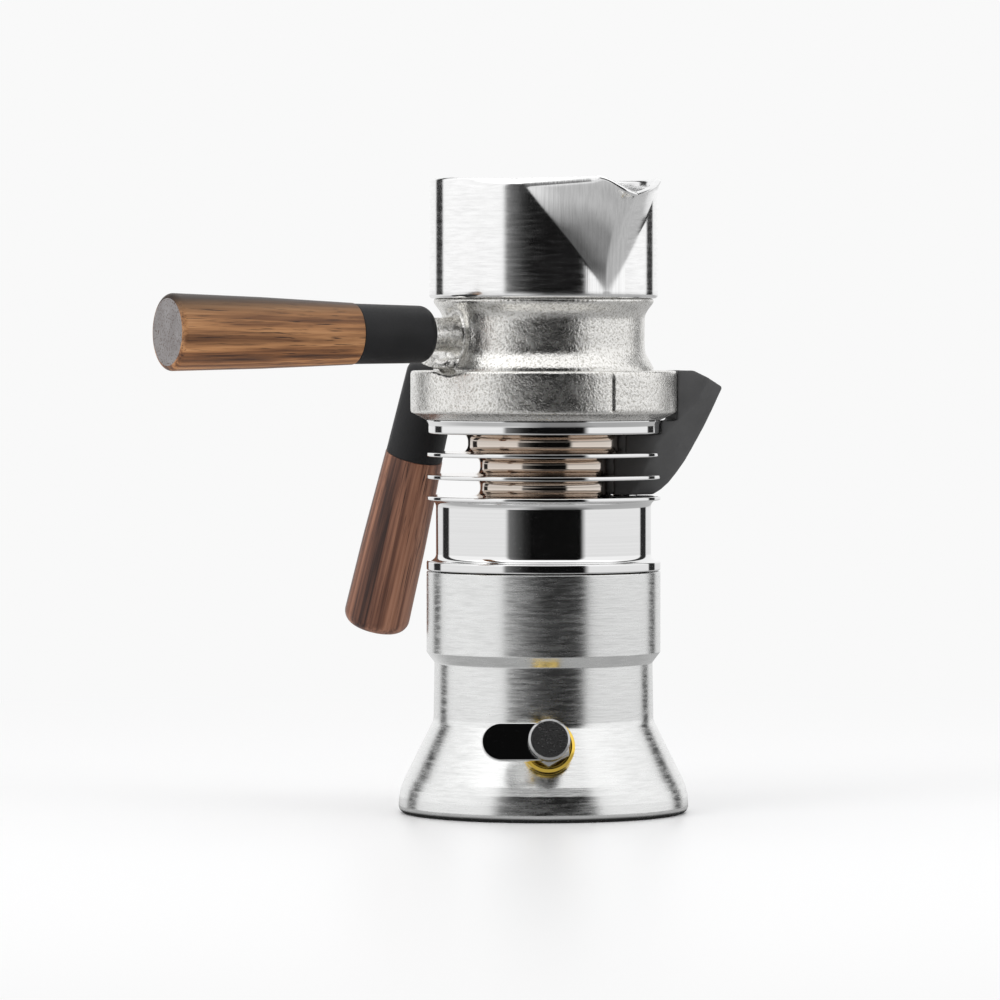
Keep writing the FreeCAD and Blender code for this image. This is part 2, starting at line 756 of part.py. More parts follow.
def filler_section(level, inner, chine, keel, half_width, keel_half):
    """Level section of the spout: flat inside, straight sides, then drawn in to a blunt keel."""
    points = [Vector(inner, -half_width, level), Vector(chine, -half_width, level),
              Vector(keel - keel_half * 0.6, -keel_half, level), Vector(keel, 0, level),
              Vector(keel - keel_half * 0.6, keel_half, level), Vector(chine, half_width, level),
              Vector(inner, half_width, level)]
    edges = [Part.LineSegment(points[0], points[1]).toShape(), Part.LineSegment(points[1], points[2]).toShape(),
             Part.Arc(points[2], points[3], points[4]).toShape(), Part.LineSegment(points[4], points[5]).toShape(),
             Part.LineSegment(points[5], points[6]).toShape(), Part.LineSegment(points[6], points[0]).toShape()]
    return Part.Wire(edges)


def filler_spout():
    """Moulded hollow beak beside the neck, for filling the upper boiler and letting its steam out."""
    low = deck_top + 0.15
    side = filler_half_width
    stations = [(low, 27.0, 36.0, side), (deck_top + 1.7, 28.1, 38.6, side), (deck_top + 3.9, 29.5, 41.2, side),
                (deck_top + 7.3, 31.0, 44.0, side), (deck_top + 11.0, 32.6, 46.7, side),
                (deck_top + 14.7, 34.0, 48.9, side), (deck_top + 21.5, 40.0, 52.8, side + 0.3),
                (deck_top + 27.0, 45.6, 55.6, side + 0.7), (deck_top + 31.0, 49.6, 57.5, side + 1.1),
                (deck_top + 40.5, 54.0, 62.2, filler_mouth_half_width)]
    wires = []
    pockets = []
    for level, chine, keel, half in stations:
        wires.append(filler_section(level, neck_radius - 2.0, chine, keel, half, 2.4))
    body = Part.makeLoft(wires, True, True)
    wall = filler_wall
    hollows = [(deck_top + 5.6, 24.5, 33.5), (deck_top + 13.0, 29.0, 43.8), (deck_top + 19.6, 39.6, 48.2),
               (deck_top + 26.5, 44.8, 52.4), (deck_top + 41.0, 44.8, 59.7)]
    for level, inner, keel in hollows:
        half = filler_half_width - wall if level < deck_top + 30 else filler_mouth_half_width - wall
        pockets.append(filler_section(level, inner, keel - 4.5, keel, half, 1.6))
    pocket = Part.makeLoft(pockets, True, True)
    trim = Part.Face(outline([(0, ring_top), (47.3, ring_top), (59.2, ring_top - 5.5), (70, ring_top - 10.5),
                              (70, ring_top + 10), (0, ring_top + 10)])).extrude(Vector(0, 60, 0))
    trim.translate(Vector(0, -30, 0))
    body = turn_about_z(body.cut(trim), filler_angle)
    pocket = turn_about_z(pocket, filler_angle)
    keep_clear = [rod(neck_radius + 0.2 + fin_fillet, 0, fin_high + 2),
                  rod(throat_radius + 0.2 + fin_fillet, fin_high, 200),
                  rod(barrel_radius + 0.4, disc_bottom - 0.4, 200), rod(ring_radius + 0.4, disc_top - 0.3, 200),
                  rod(nipple_radius, 0, deck_top + 5.5, polar(nipple_place, filler_angle))]
    spout = body.cut(keep_clear).cut(pocket)
    passage = rod(nipple_bore + 0.4, deck_top + 5.4, deck_top + 7.0, polar(nipple_place, filler_angle))
    return spout.cut(passage)


def front_place():
    """Where the front handle's axis starts, pointing outwards and a little up."""
    tilt = math.radians(front_handle_tilt)
    way = polar(math.cos(tilt), front_handle_angle, math.sin(tilt))
    return along(polar(front_handle_start, front_handle_angle, handle_level), way)


def front_stud(clearance):
    """Threaded stud of the front handle, or with a clearance the hole for it."""
    return placed(rod(stud_radius + clearance, -6.0 - clearance, stud_length), front_place())


def brew_head():
    """Cast head with its bayonet foot and lugs, handle stub and gusset, bored for the basket."""
    foot = rim_bottom + rim_thickness - 0.4
    lug_low = ring_top - ring_lip - soft_gap - lug_height
    corners = [(0, foot), (head_shoulder, foot, 0.4), (head_shoulder, ring_top + 0.8, 0.5),
               (head_waist, ring_top + 5.8, 6.0), (head_waist, head_top - 5.0, 5.0),
               (head_shoulder, head_top - 1.2, 0.5), (head_shoulder, head_top, head_top_round), (0, head_top)]
    body = turned(corners)
    lugs = [sector(ring_bore - 0.4, head_shoulder - 2, lug_low, lug_low + lug_height, angle, lug_angle)
            for angle in lug_turns()]
    body = body.fuse(lugs).fuse([front_stub(), front_gusset()])
    shoulder = rim_bottom + rim_thickness + soft_gap
    bore = [(0, foot - 1), (basket_radius + basket_rim + 0.4, foot - 1), (basket_radius + basket_rim + 0.4, shoulder),
            (basket_radius + head_clearance, shoulder), (basket_radius + head_clearance, basket_top + 0.5),
            (basket_radius - 2.5, basket_top + 0.5), (basket_radius - 4.0, head_top - 5.5, 2.0),
            (0, head_top - 5.5)]
    groove = pipe_ring(basket_radius + 1.9, basket_radius - 1, clip_level() - 0.9, clip_level() + 0.9)
    outlet = rod(outlet_radius, head_top - 8, head_top + 1)
    return body.cut([turned(bore), groove, outlet, front_stud(0.05)]).removeSplitter()


def front_stub():
    """Round stub for the front handle, flared where it leaves the head."""
    root = -front_handle_start + head_waist - 4.0
    flare = -front_handle_start + head_waist + 1.7
    flare_low = flare - (stub_root_radius - stub_radius) / math.tan(math.radians(stub_flare_slope))
    corners = [(0, root), (stub_root_radius, root), (stub_root_radius, flare_low),
               (stub_radius, flare, 5.0), (stub_radius, 2.0), (0, 2.0)]
    return placed(turned(corners), front_place())


def front_gusset():
    """Web under the stub whose foot lies over the locking ring's lip."""
    low = ring_top + 0.6
    edge = gusset_reach
    corners = [(head_waist - 1.5, low), (edge, low, 0.4), (edge - 0.5, low + 1.8, 1.0), (edge - 3.4, low + 5.6, 1.5),
               (edge - 3.6, handle_level), (head_waist - 1.5, handle_level)]
    return slab(corners, gusset_thickness, front_handle_angle)


def handle_ferrule(radii, length):
    """Black moulded sleeve with a rounded inner end, bored for the stub and the stud."""
    start_radius, end_radius = radii
    corners = [(0, 0), (start_radius, 0, ferrule_round), (end_radius, length, 0.3), (0, length)]
    socket = rod(stub_radius + 0.05, -1, 2.05)
    return turned(corners).cut(socket).cut(rod(stud_radius + 0.05, -1, length + 1))


def handle_grip(radii, start, length, end_round):
    """Tapered wooden grip, bored for the stud."""
    start_radius, end_radius = radii
    high = start + length
    swell = (start_radius + end_radius) / 2 + 0.25
    profile = [Part.LineSegment(Vector(0, 0, start), Vector(start_radius - 0.4, 0, start)).toShape(),
               Part.LineSegment(Vector(start_radius - 0.4, 0, start), Vector(start_radius, 0, start + 0.4)).toShape(),
               Part.Arc(Vector(start_radius, 0, start + 0.4), Vector(swell, 0, start + length / 2),
                        Vector(end_radius, 0, high - end_round)).toShape(),
               Part.Arc(Vector(end_radius, 0, high - end_round),
                        Vector(end_radius - 0.3 * end_round, 0, high - 0.3 * end_round),
                        Vector(end_radius - end_round, 0, high)).toShape(),
               Part.LineSegment(Vector(end_radius - end_round, 0, high), Vector(0, 0, high)).toShape(),
               Part.LineSegment(Vector(0, 0, high), Vector(0, 0, start)).toShape()]
    grip = Part.Face(Part.Wire(profile)).revolve(Vector(0, 0, 0), Vector(0, 0, 1), 360)
    return grip.cut(rod(stud_radius + 0.05, start - 1, stud_length + 0.1))


def teardrop(level, radius, tip, tip_round):
    """Level section of the cup: a circle drawn out to a rounded tip on the +X side."""
    centre = tip - tip_round
    side = math.acos(min(1.0, (radius - tip_round) / centre)) if centre > radius - tip_round else 0.0
    touch = Vector(radius * math.cos(side), radius * math.sin(side), level)
    end = Vector(centre + tip_round * math.cos(side), tip_round * math.sin(side), level)
    touch_low = Vector(touch.x, -touch.y, level)
    end_low = Vector(end.x, -end.y, level)
    edges = [Part.Arc(touch, Vector(-radius, 0, level), touch_low).toShape(),
             Part.LineSegment(touch_low, end_low).toShape(),
             Part.Arc(end_low, Vector(tip, 0, level), end).toShape(),
             Part.LineSegment(end, touch).toShape()]
    return Part.Wire(edges)


def cup_form(radius, tip_shift, low, high):
    """Upper part of the cup between two levels, whose section grows from a circle to a spout."""
    wires = []
    steps = 6
    start = head_top + spout_start
    full = rim_level - start
    for step in range(steps + 1):
        level = low + (high - low) * step / steps
        share = max(0.0, (level - start) / full)
        tip = radius + 0.25 + (spout_reach + tip_shift) * share ** 2
        wires.append(teardrop(level, radius, tip, spout_tip_round))
    return Part.makeLoft(wires, True, False)


def espresso_cup():
    """Thin cup with a pouring spout drawn out of its wall and a rim that dips towards the tip."""
    start = head_top + spout_start
    top = rim_level + 2.0
    inner_radius = cup_radius - cup_wall
    low_outside = turned([(0, head_top), (cup_radius, head_top, cup_edge_round), (cup_radius, start), (0, start)])
    floor = head_top + cup_floor
    low_inside = turned([(0, floor), (inner_radius, floor, cup_edge_round), (inner_radius, start), (0, start)])
    outside = low_outside.fuse(cup_form(cup_radius, 0.0, start, top))
    inside = low_inside.fuse(cup_form(inner_radius, 0.0, start, top + 0.5))
    cup = outside.cut(inside)
    wide = 60.0
    dip_start = cup_radius - 0.8
    dip_end = rim_level - (wide - dip_start) * math.tan(math.radians(spout_dip_slope))
    cutter = Part.Face(outline([(-wide, rim_level), (dip_start, rim_level, spout_dip_round), (wide, dip_end),
                                (wide, rim_level + 9), (-wide, rim_level + 9)])).extrude(Vector(0, 2 * wide, 0))
    cutter.translate(Vector(0, -wide, 0))
    cutter = turn_about_z(cutter, spout_dip_turn)
    cup = cup.cut(cutter).cut(rod(outlet_radius, head_top - 1, floor + 1))
    return turn_about_z(cup, spout_angle)


def coffee_outlet():
    """Hollow bolt that clamps the cup to the head and lets the coffee out through its side holes."""
    low = head_top - 5.5
    seat = head_top + cup_floor + 0.8
    top = head_top + cup_floor + outlet_height
    shank = rod(outlet_radius - 0.05, low, seat)
    cap = hexagon(2 * outlet_radius + 4, seat, seat + 4)
    tower = turned([(0, seat + 3.9), (outlet_radius + 0.8, seat + 3.9), (outlet_radius - 0.6, top, 2.0), (0, top)])
    channel = rod(outlet_radius - 2.2, low - 1, top - 1.8)
    bolt = shank.fuse([cap, tower]).cut(channel)
    windows = [Part.makeCylinder(1.5, 12, Vector(0, 0, top - 4.6), polar(1.0, 90 * step + 45)) for step in range(4)]
    return bolt.cut(windows).removeSplitter()


def outlet_washer():
    """Washer under the coffee outlet's hexagon."""
    low = head_top + cup_floor
    return pipe_ring(outlet_radius + 3.0, outlet_radius, low, low + 0.8)


def build():
    """All nodes with their names."""
    front = front_place()
    rear = rear_place()
    return {
        "lower_boiler": lower_boiler(),
        "boiler_bottom_plate": boiler_bottom_plate(),
        "safety_valve_body": safety_valve_body(),
        "safety_valve_washer": safety_valve_washer(),
        "safety_valve_cap": safety_valve_cap(),
        "safety_valve_spring": safety_valve_spring(),
        "safety_valve_stem": safety_valve_stem(),
        "safety_valve_lever": safety_valve_lever(),
        "safety_valve_knob": safety_valve_knob(),
        "boiler_gasket": boiler_gasket(),
        "boiler_plug": boiler_plug(),
        "upper_boiler_shell": upper_boiler_shell(),
        "finned_neck": finned_neck(),
        "neck_nut": neck_nut(),
        "heat_exchanger_coil": heat_exchanger_coil(),
        "main_valve_housing": main_valve_housing(),
        "main_valve_ball": main_valve_ball(),
        "main_valve_spring": main_valve_spring(),
        "main_valve_screw": main_valve_screw(),
        "dip_tube": dip_tube(),
        "group_gasket": group_gasket(),
        "shower_screen": shower_screen(),
        "filter_basket": filter_basket(),
        "basket_clip": basket_clip(),
        "group_ring": group_ring(),
        "ring_screws": ring_screws(),
        "filler_nipple": filler_nipple(),
        "filler_spout": filler_spout(),
        "rear_handle_ferrule": placed(handle_ferrule(rear_ferrule_radii, rear_ferrule_length), rear),
        "rear_handle_grip": placed(handle_grip(rear_grip_radii, rear_ferrule_length, rear_grip_length,
                                               rear_grip_round), rear),
        "rear_handle_stud": rear_stud(0.0),
        "brew_head": brew_head(),
        "espresso_cup": espresso_cup(),
        "outlet_washer": outlet_washer(),
        "coffee_outlet": coffee_outlet(),
        "front_handle_ferrule": placed(handle_ferrule(front_ferrule_radii, front_ferrule_length), front),
        "front_handle_grip": placed(handle_grip(front_grip_radii, front_ferrule_length, front_grip_length,
                                                front_grip_round), front),
        "front_handle_stud": front_stud(0.0),
    }


os.makedirs("parts", exist_ok=True)
for name, shape in build().items():
    solids = shape.Solids
    piece = solids[0] if len(solids) == 1 else Part.makeCompound(solids)
    piece.exportStep("parts/" + name + ".step")
    print(name, len(solids), "solids", round(shape.Volume, 1), "mm3", "valid" if shape.isValid() else "NOT VALID")
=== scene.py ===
"""Looks of the stovetop espresso maker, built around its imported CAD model.

Profiles are written in millimetres, as radius, height and edge round, and meshes are made in metres. Azimuths
are in degrees from +X towards +Y; the photograph is taken from -Y.
"""

import json
import math

import bmesh
import bpy
from mathutils import Matrix, Vector, noise as smooth_noise
from mathutils.bvhtree import BVHTree


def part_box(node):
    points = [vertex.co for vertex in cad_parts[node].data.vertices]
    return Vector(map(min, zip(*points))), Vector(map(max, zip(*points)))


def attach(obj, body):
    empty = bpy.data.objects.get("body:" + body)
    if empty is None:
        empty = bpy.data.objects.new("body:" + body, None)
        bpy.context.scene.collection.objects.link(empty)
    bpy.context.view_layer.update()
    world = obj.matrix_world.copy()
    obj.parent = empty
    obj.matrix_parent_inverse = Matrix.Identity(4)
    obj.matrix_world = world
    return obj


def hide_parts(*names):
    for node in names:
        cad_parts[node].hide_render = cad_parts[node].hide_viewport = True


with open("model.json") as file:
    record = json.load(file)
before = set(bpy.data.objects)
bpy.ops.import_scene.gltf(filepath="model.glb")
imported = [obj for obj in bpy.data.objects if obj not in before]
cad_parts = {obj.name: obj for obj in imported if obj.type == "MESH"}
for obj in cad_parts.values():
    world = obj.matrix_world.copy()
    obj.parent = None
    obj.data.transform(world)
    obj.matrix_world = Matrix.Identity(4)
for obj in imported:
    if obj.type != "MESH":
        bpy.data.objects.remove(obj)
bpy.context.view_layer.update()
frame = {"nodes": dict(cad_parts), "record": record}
nodes = frame["nodes"]

MM = 0.001
LARGE_TURN = 224
SMALL_TURN = 96
ARC_STEP = 9.0
SHARP_ANGLE = 27.0
LONG_RUN = 0.9
RUN_EDGE = 0.12
STROKE_LENGTH = 0.007
STROKE_HEIGHT = 0.0009

# Camera
CAMERA_DISTANCE = 1.887
CAMERA_HEIGHT = 0.15305
FRAME_CENTRE_X = -0.0138
FRAME_CENTRE_Z = 0.0991
FOCAL_LENGTH = 214.2
SENSOR_WIDTH = 36.0

# Sizes of the turned pieces
BASE_RADIUS = 46.0
WAIST_RADIUS = 34.9
BARREL_RADIUS = 37.1
BORE_RADIUS = 31.6
BOILER_WALL = 3.0
BELL_SLOPE = 26.26
CREASE_HEIGHT = 29.4
UPPER_BOILER_RADIUS = 34.1
DECK_DEPTH = 4.0
THREAD_RADIUS = 31.3
THREAD_PITCH = 2.0
NECK_RADIUS = 20.2
THROAT_RADIUS = 24.0
SPIGOT_RADIUS = 11.9
FIN_THICKNESS = 1.3
FIN_GAPS = (5.4, 5.8, 5.9)
FIN_FILLET = 2.4
FIN_FILLET_SIDE = 1.8
DISC_RADIUS = 36.7
NOTCH_REACH = 60.0
NOTCH_SPARE = 0.3
BASKET_RADIUS = 29.3
BASKET_RIM_RADIUS = 32.3
BASKET_WALL = 0.6
BASKET_FLOOR = 0.8

# Handles, spouts and valve
FRONT_AZIMUTH = 209.0
FRONT_TILT = 0.5
FRONT_START = 41.3
FRONT_DROP = 11.4
REAR_AZIMUTH = 133.0
REAR_TILT = 19.2
REAR_RADIUS = 51.2
REAR_RISE = 1.8
CUP_RADIUS = 36.3
CUP_WALL = 1.6
CUP_FOOT_ROUND = 1.2
CUP_FLOOR = 2.0
POUR_AZIMUTH = -57.0
POUR_REACH = 13.8
POUR_START = -3.0
POUR_GROWTH = 2.8
POUR_TIP_ROUND = 4.5
POUR_SINK = 0.3
LIP_FLARE = 2.3
LIP_FLARE_HEIGHT = 3.0
LIP_FLARE_LEFT = 14.0
LIP_FLARE_RIGHT = 95.0
LIP_DIP_TURN = 27.0
LIP_DIP_START = 37.3
LIP_DIP_ROUND = 9.0
LIP_DIP_SLOPE = 35.0
FLANK_FADE = 0.25
FLANK_END = 0.2
RIM_SPARE = 0.03
RIM_ROLL = 1.5
RIM_ROLL_HEIGHT = 2.6
RIM_ROLL_TURN = (5.0, 14.0, 45.0, 92.0)
CAST_VOXEL = 0.45
HEAD_VOXEL = 0.55
CAST_SMOOTHING = 3
BLEND_SMOOTHING = 5
CAST_UNEVENNESS = 0.025
MARK_AZIMUTH = -59.4
MARK_HALF_WIDTH = 0.65
RING_RADIUS = 42.2
RING_HEIGHT = 15.7
STUD_RADIUS = 3.05
STUD_END = 62.1
FILLER_AZIMUTH = 15.0
FILLER_HALF_WIDTH = 6.5
LINING_LEVELS = range(110, 128)
LINING_MIDDLE = 36.0
LINING_SLOPE = 0.7
LINING_START = 0.1
LINING_END = 1.2
VALVE_AZIMUTH = -88.0
VALVE_TILT = 15.0
VALVE_HEIGHT = 22.8
VALVE_FLANGE = 8.4
KNOB_RADIUS = 6.5


def level(node, end):
    """Lowest (0) or highest (1) level of a CAD node, in millimetres."""
    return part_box(node)[end].z / MM


def polar(radius, azimuth, height=0.0):
    """Point in millimetres at a radius and azimuth."""
    turn = math.radians(azimuth)
    return Vector((radius * math.cos(turn), radius * math.sin(turn), height))


def along(start, direction):
    """Matrix that carries local +Z to a line, with its start in millimetres."""
    turn = Vector((0, 0, 1)).rotation_difference(direction.normalized())
    return Matrix.Translation(start * MM) @ turn.to_matrix().to_4x4()


boiler_top = level("lower_boiler", 1)
shell_low = level("upper_boiler_shell", 0)
deck_top = level("upper_boiler_shell", 1)
neck_top = level("finned_neck", 1)
fin_low = deck_top + FIN_GAPS[0]
fin_high = fin_low + FIN_THICKNESS + FIN_GAPS[1]
disc_low = fin_high + FIN_THICKNESS + FIN_GAPS[2]
ring_top = neck_top + RING_HEIGHT
head_top = level("brew_head", 1)
cup_top = level("espresso_cup", 1)

front_way = polar(math.cos(math.radians(FRONT_TILT)), FRONT_AZIMUTH, math.sin(math.radians(FRONT_TILT)))
front_place = along(polar(FRONT_START, FRONT_AZIMUTH, head_top - FRONT_DROP), front_way)
rear_way = polar(math.sin(math.radians(REAR_TILT)), REAR_AZIMUTH, -math.cos(math.radians(REAR_TILT)))
rear_place = along(polar(REAR_RADIUS, REAR_AZIMUTH, ring_top + REAR_RISE), rear_way)
valve_way = polar(math.cos(math.radians(VALVE_TILT)), VALVE_AZIMUTH, math.sin(math.radians(VALVE_TILT)))
valve_wall = WAIST_RADIUS + (CREASE_HEIGHT - VALVE_HEIGHT) * math.tan(math.radians(BELL_SLOPE))
valve_place = along(polar(valve_wall, VALVE_AZIMUTH, VALVE_HEIGHT), valve_way)


# Node trees

def new_material(name, class_values):
    """Material with one Principled shader whose constant sockets are set from a dictionary."""
    made = bpy.data.materials.new(name)
    made.use_nodes = True
    shader = made.node_tree.nodes["Principled BSDF"]
    for socket, value in class_values.items():
        shader.inputs[socket].default_value = value
    return made, made.node_tree, shader


def add(tree, kind, inputs=None, **settings):
    """Adds a node with its properties and with its inputs, by name or number, as values or linked sockets."""
    made = tree.nodes.new(kind)
    for key, value in settings.items():
        setattr(made, key, value)
    for key, value in (inputs or {}).items():
        if isinstance(value, bpy.types.NodeSocket):
            tree.links.new(value, made.inputs[key])
        else:
            made.inputs[key].default_value = value
    return made


def object_place(tree, scale=(1, 1, 1), location=(0, 0, 0), rotation=(0, 0, 0), kind="POINT"):
    """Object coordinates through a Mapping node."""
    place = add(tree, "ShaderNodeTexCoord").outputs["Object"]
    inputs = {"Vector": place, "Location": location, "Rotation": rotation, "Scale": scale}
    return add(tree, "ShaderNodeMapping", inputs, vector_type=kind).outputs["Vector"]


def noise(tree, vector, scale, detail=3.0, roughness=0.5, distortion=0.0):
    """Noise texture's factor."""
    inputs = {"Vector": vector, "Scale": scale, "Detail": detail, "Roughness": roughness,
              "Distortion": distortion}
    return add(tree, "ShaderNodeTexNoise", inputs).outputs["Fac"]


def ramp(tree, factor, stops):
    """Colour ramp through (position, colour) stops, where a colour may be one grey value."""
    made = add(tree, "ShaderNodeValToRGB", {"Fac": factor})
    elements = made.color_ramp.elements
    while len(elements) < len(stops):
        elements.new(0.5)
    for element, (position, colour) in zip(elements, stops):
        element.position = position
        element.color = (colour, colour, colour, 1) if isinstance(colour, float) else (*colour, 1)
    return made.outputs["Color"]


def math_node(tree, operation, *values):
    """Math node on sockets or numbers."""
    return add(tree, "ShaderNodeMath", dict(enumerate(values)), operation=operation).outputs[0]


def mix_colour(tree, factor, first, second, blend="MIX"):
    """Mix of two colours, sockets or values."""
    inputs = {0: factor}
    for index, value in ((6, first), (7, second)):
        inputs[index] = value if isinstance(value, bpy.types.NodeSocket) else (*value, 1)
    return add(tree, "ShaderNodeMix", inputs, data_type="RGBA", blend_type=blend).outputs[2]


def dress(tree, shader, colour, rough):
    """Links a shader's colour and roughness."""
    tree.links.new(colour, shader.inputs["Base Color"])
    tree.links.new(rough, shader.inputs["Roughness"])


def bump(tree, shader, height, strength, distance, after=None):
    """Bump node into the shader's normal, on top of another bump if one is given."""
    inputs = {"Strength": strength, "Distance": distance, "Height": height}
    if after is not None:
        inputs["Normal"] = after
    normal = add(tree, "ShaderNodeBump", inputs).outputs["Normal"]
    tree.links.new(normal, shader.inputs["Normal"])
    return normal


def turned_lines(tree, fine):
    """Fine level lines that a lathe or a brush leaves round an upright piece."""
    return noise(tree, object_place(tree, (9, 9, fine)), 1.0, 5.0, 0.7)


def length_of(tree, vector):
    """Length of a vector socket."""
    return add(tree, "ShaderNodeVectorMath", {0: vector}, operation="LENGTH").outputs["Value"]


def stretched_noise(tree, vector, scale, *shape):
    """Noise texture's factor over coordinates that are scaled by a different factor each way."""
    place = add(tree, "ShaderNodeMapping", {"Vector": vector, "Scale": scale}).outputs["Vector"]
    return noise(tree, place, 1.0, *shape)


def sum_of(tree, first, share, second, other_share):
    """Sum of two sockets, each times its share."""
    first = math_node(tree, "MULTIPLY", first, share)
    return math_node(tree, "ADD", first, math_node(tree, "MULTIPLY", second, other_share))


def short_strokes(tree, length, height):
    """Short level strokes of a brush, of about a length and a height in metres."""
    return noise(tree, object_place(tree, (1 / length, 1 / length, 1 / height)), 1.0, 3.0, 0.6)


def brushed_metal(name, colour, roughness, slope, fine=2600.0, slant=False):
    """Metal brushed round the upright axis in short strokes, whose slope spreads the gloss up and down."""
    constants = {"Metallic": 1.0, "Anisotropic": 0.2, "Anisotropic Rotation": 0.25}
    made, tree, shader = new_material(name, constants)
    strokes = short_strokes(tree, STROKE_LENGTH, STROKE_HEIGHT)
    lines = sum_of(tree, strokes, 0.75, turned_lines(tree, fine), 0.25)
    if slant:
        flank = add(tree, "ShaderNodeAttribute", attribute_name="near_flank")
        slanted_place = object_place(tree, (1500, 300, 30), rotation=(0, math.radians(-31), 0))
        slanted = noise(tree, slanted_place, 1.0, 4.0, 0.65)
        lines = mix_colour(tree, flank.outputs["Fac"], lines, slanted)
    tone = ramp(tree, lines, [(0.34, tuple(c * 0.86 for c in colour)), (0.60, colour)])
    dress(tree, shader, tone, ramp(tree, strokes, [(0.36, roughness * 0.8), (0.66, roughness * 1.3)]))
    tangent = add(tree, "ShaderNodeTangent", direction_type="RADIAL", axis="Z")
    tree.links.new(tangent.outputs["Tangent"], shader.inputs["Tangent"])
    bump(tree, shader, lines, 1.0, slope * STROKE_HEIGHT)
    return made


def polished_metal(name, colour, roughness, painted_groove_shade=None):
    """Metal polished on the lathe, with faint scratches and smears, and a painted shade, darker and warmer,
    deep in its grooves.
    """
    made, tree, shader = new_material(name, {"Metallic": 1.0})
    lines = turned_lines(tree, 1800.0)
    smears = noise(tree, object_place(tree, (60, 60, 90)), 1.0, 4.0, 0.6)
    scratches = ramp(tree, short_strokes(tree, 0.0016, 0.0003), [(0.60, 0.0), (0.75, 0.12)])
    tone = ramp(tree, lines, [(0.3, tuple(c * 0.94 for c in colour)), (0.7, colour)])
    if painted_groove_shade is not None:
        # Painted shade: within about 35 mm of the axis, deep between the fins, the colour turns darker and
        # warmer.
        from_axis = length_of(tree, object_place(tree, (1, 1, 0)))
        depth = ramp(tree, math_node(tree, "MULTIPLY", from_axis, 10.0), [(0.345, 1.0), (0.365, 0.0)])
        tone = mix_colour(tree, depth, tone, painted_groove_shade)
    rough = math_node(tree, "ADD", math_node(tree, "MULTIPLY", smears, 0.05), roughness - 0.02)
    dress(tree, shader, tone, math_node(tree, "ADD", rough, scratches))
    bump(tree, shader, lines, 0.12, 0.00002)
    return made


def cast_metal(name, colour, shade_colour):
    """Rough casting: bright tumbled skin with fine grains, pits and a little waviness."""
    made, tree, shader = new_material(name, {"Metallic": 1.0})
    place = object_place(tree)
    grains = noise(tree, place, 1350.0, 2.0, 0.6)
    lumps = noise(tree, place, 430.0, 2.0, 0.5)
    tone = ramp(tree, grains, [(0.32, shade_colour), (0.52, colour)])
    dress(tree, shader, tone, ramp(tree, lumps, [(0.3, 0.20), (0.75, 0.32)]))
    under = bump(tree, shader, lumps, 1.0, 0.00007)
    bump(tree, shader, grains, 1.0, 0.00012, under)
    return made


def moulded(name, colour, roughness, grain_scale, depth):
    """Matt moulded plastic or rubber with a fine grain."""
    made, tree, shader = new_material(name, {"Metallic": 0.0, "Specular IOR Level": 0.3})
    place = object_place(tree)
    grain = noise(tree, place, grain_scale, 2.0, 0.5)
    cloud = noise(tree, place, 60.0, 3.0, 0.5)
    tone = ramp(tree, cloud, [(0.3, tuple(c * 0.8 for c in colour)), (0.7, tuple(c * 1.2 for c in colour))])
    dress(tree, shader, tone, ramp(tree, grain, [(0.3, roughness - 0.06), (0.7, roughness + 0.06)]))
    bump(tree, shader, grain, depth, 0.0001)
    return made


def walnut(name, place, shades, painted_light_and_shade):
    """Oiled walnut with long streaks, in dark to light shades, under painted light and shade that change with
    the height.
    """
    made, tree, shader = new_material(name, {"Metallic": 0.0, "Specular IOR Level": 0.35})
    grain_place = object_place(tree, (1, 1, 1), place.to_translation(), place.to_euler(), "TEXTURE")
    broad = stretched_noise(tree, grain_place, (130, 130, 3.5), 2.0, 0.5, 0.4)
    fine = stretched_noise(tree, grain_place, (900, 900, 9), 3.0, 0.55, 0.2)
    figure = sum_of(tree, broad, 0.62, fine, 0.38)
    tone = ramp(tree, figure, list(zip((0.34, 0.45, 0.55, 0.68), shades)))
    pores = stretched_noise(tree, grain_place, (2400, 2400, 45), 2.0, 0.5)
    pore_mask = ramp(tree, pores, [(0.30, 0.0), (0.40, 1.0)])
    colour = mix_colour(tree, pore_mask, shades[0], tone)
    # Painted light and shade: the colour is multiplied by a ramp over the height across the handle.
    upward = place.to_3x3().transposed() @ Vector((0, 0, 1))
    height = add(tree, "ShaderNodeVectorMath", {0: grain_place, 1: upward}, operation="DOT_PRODUCT")
    section = math_node(tree, "MULTIPLY", height.outputs["Value"], 40.0)
    section = math_node(tree, "ADD", section, 0.5)
    colour = mix_colour(tree, 1.0, colour, ramp(tree, section, painted_light_and_shade), "MULTIPLY")
    dress(tree, shader, colour, ramp(tree, figure, [(0.3, 0.36), (0.7, 0.48)]))
    bump(tree, shader, pore_mask, 0.25, 0.0001)
    return made


def end_grain(name):
    """Cut and waxed end of a walnut handle, whose pale grey tone is partly its own colour and partly a
    painted sheen.
    """
    made, tree, shader = new_material(name, {"Metallic": 0.0, "Specular IOR Level": 0.4})
    place = object_place(tree)
    dots = noise(tree, place, 1600.0, 3.0, 0.6)
    cloud = noise(tree, place, 180.0, 3.0, 0.5)
    # Painted sheen: these greys stand partly for the gloss on the cut end.
    tone = ramp(tree, cloud, [(0.3, (0.205, 0.190, 0.188)), (0.7, (0.275, 0.262, 0.262))])
    tone = mix_colour(tree, ramp(tree, dots, [(0.36, 0.0), (0.46, 1.0)]), (0.10, 0.07, 0.06), tone)
    dress(tree, shader, tone, ramp(tree, dots, [(0.3, 0.55), (0.7, 0.68)]))
    bump(tree, shader, dots, 0.2, 0.0001)
    return made


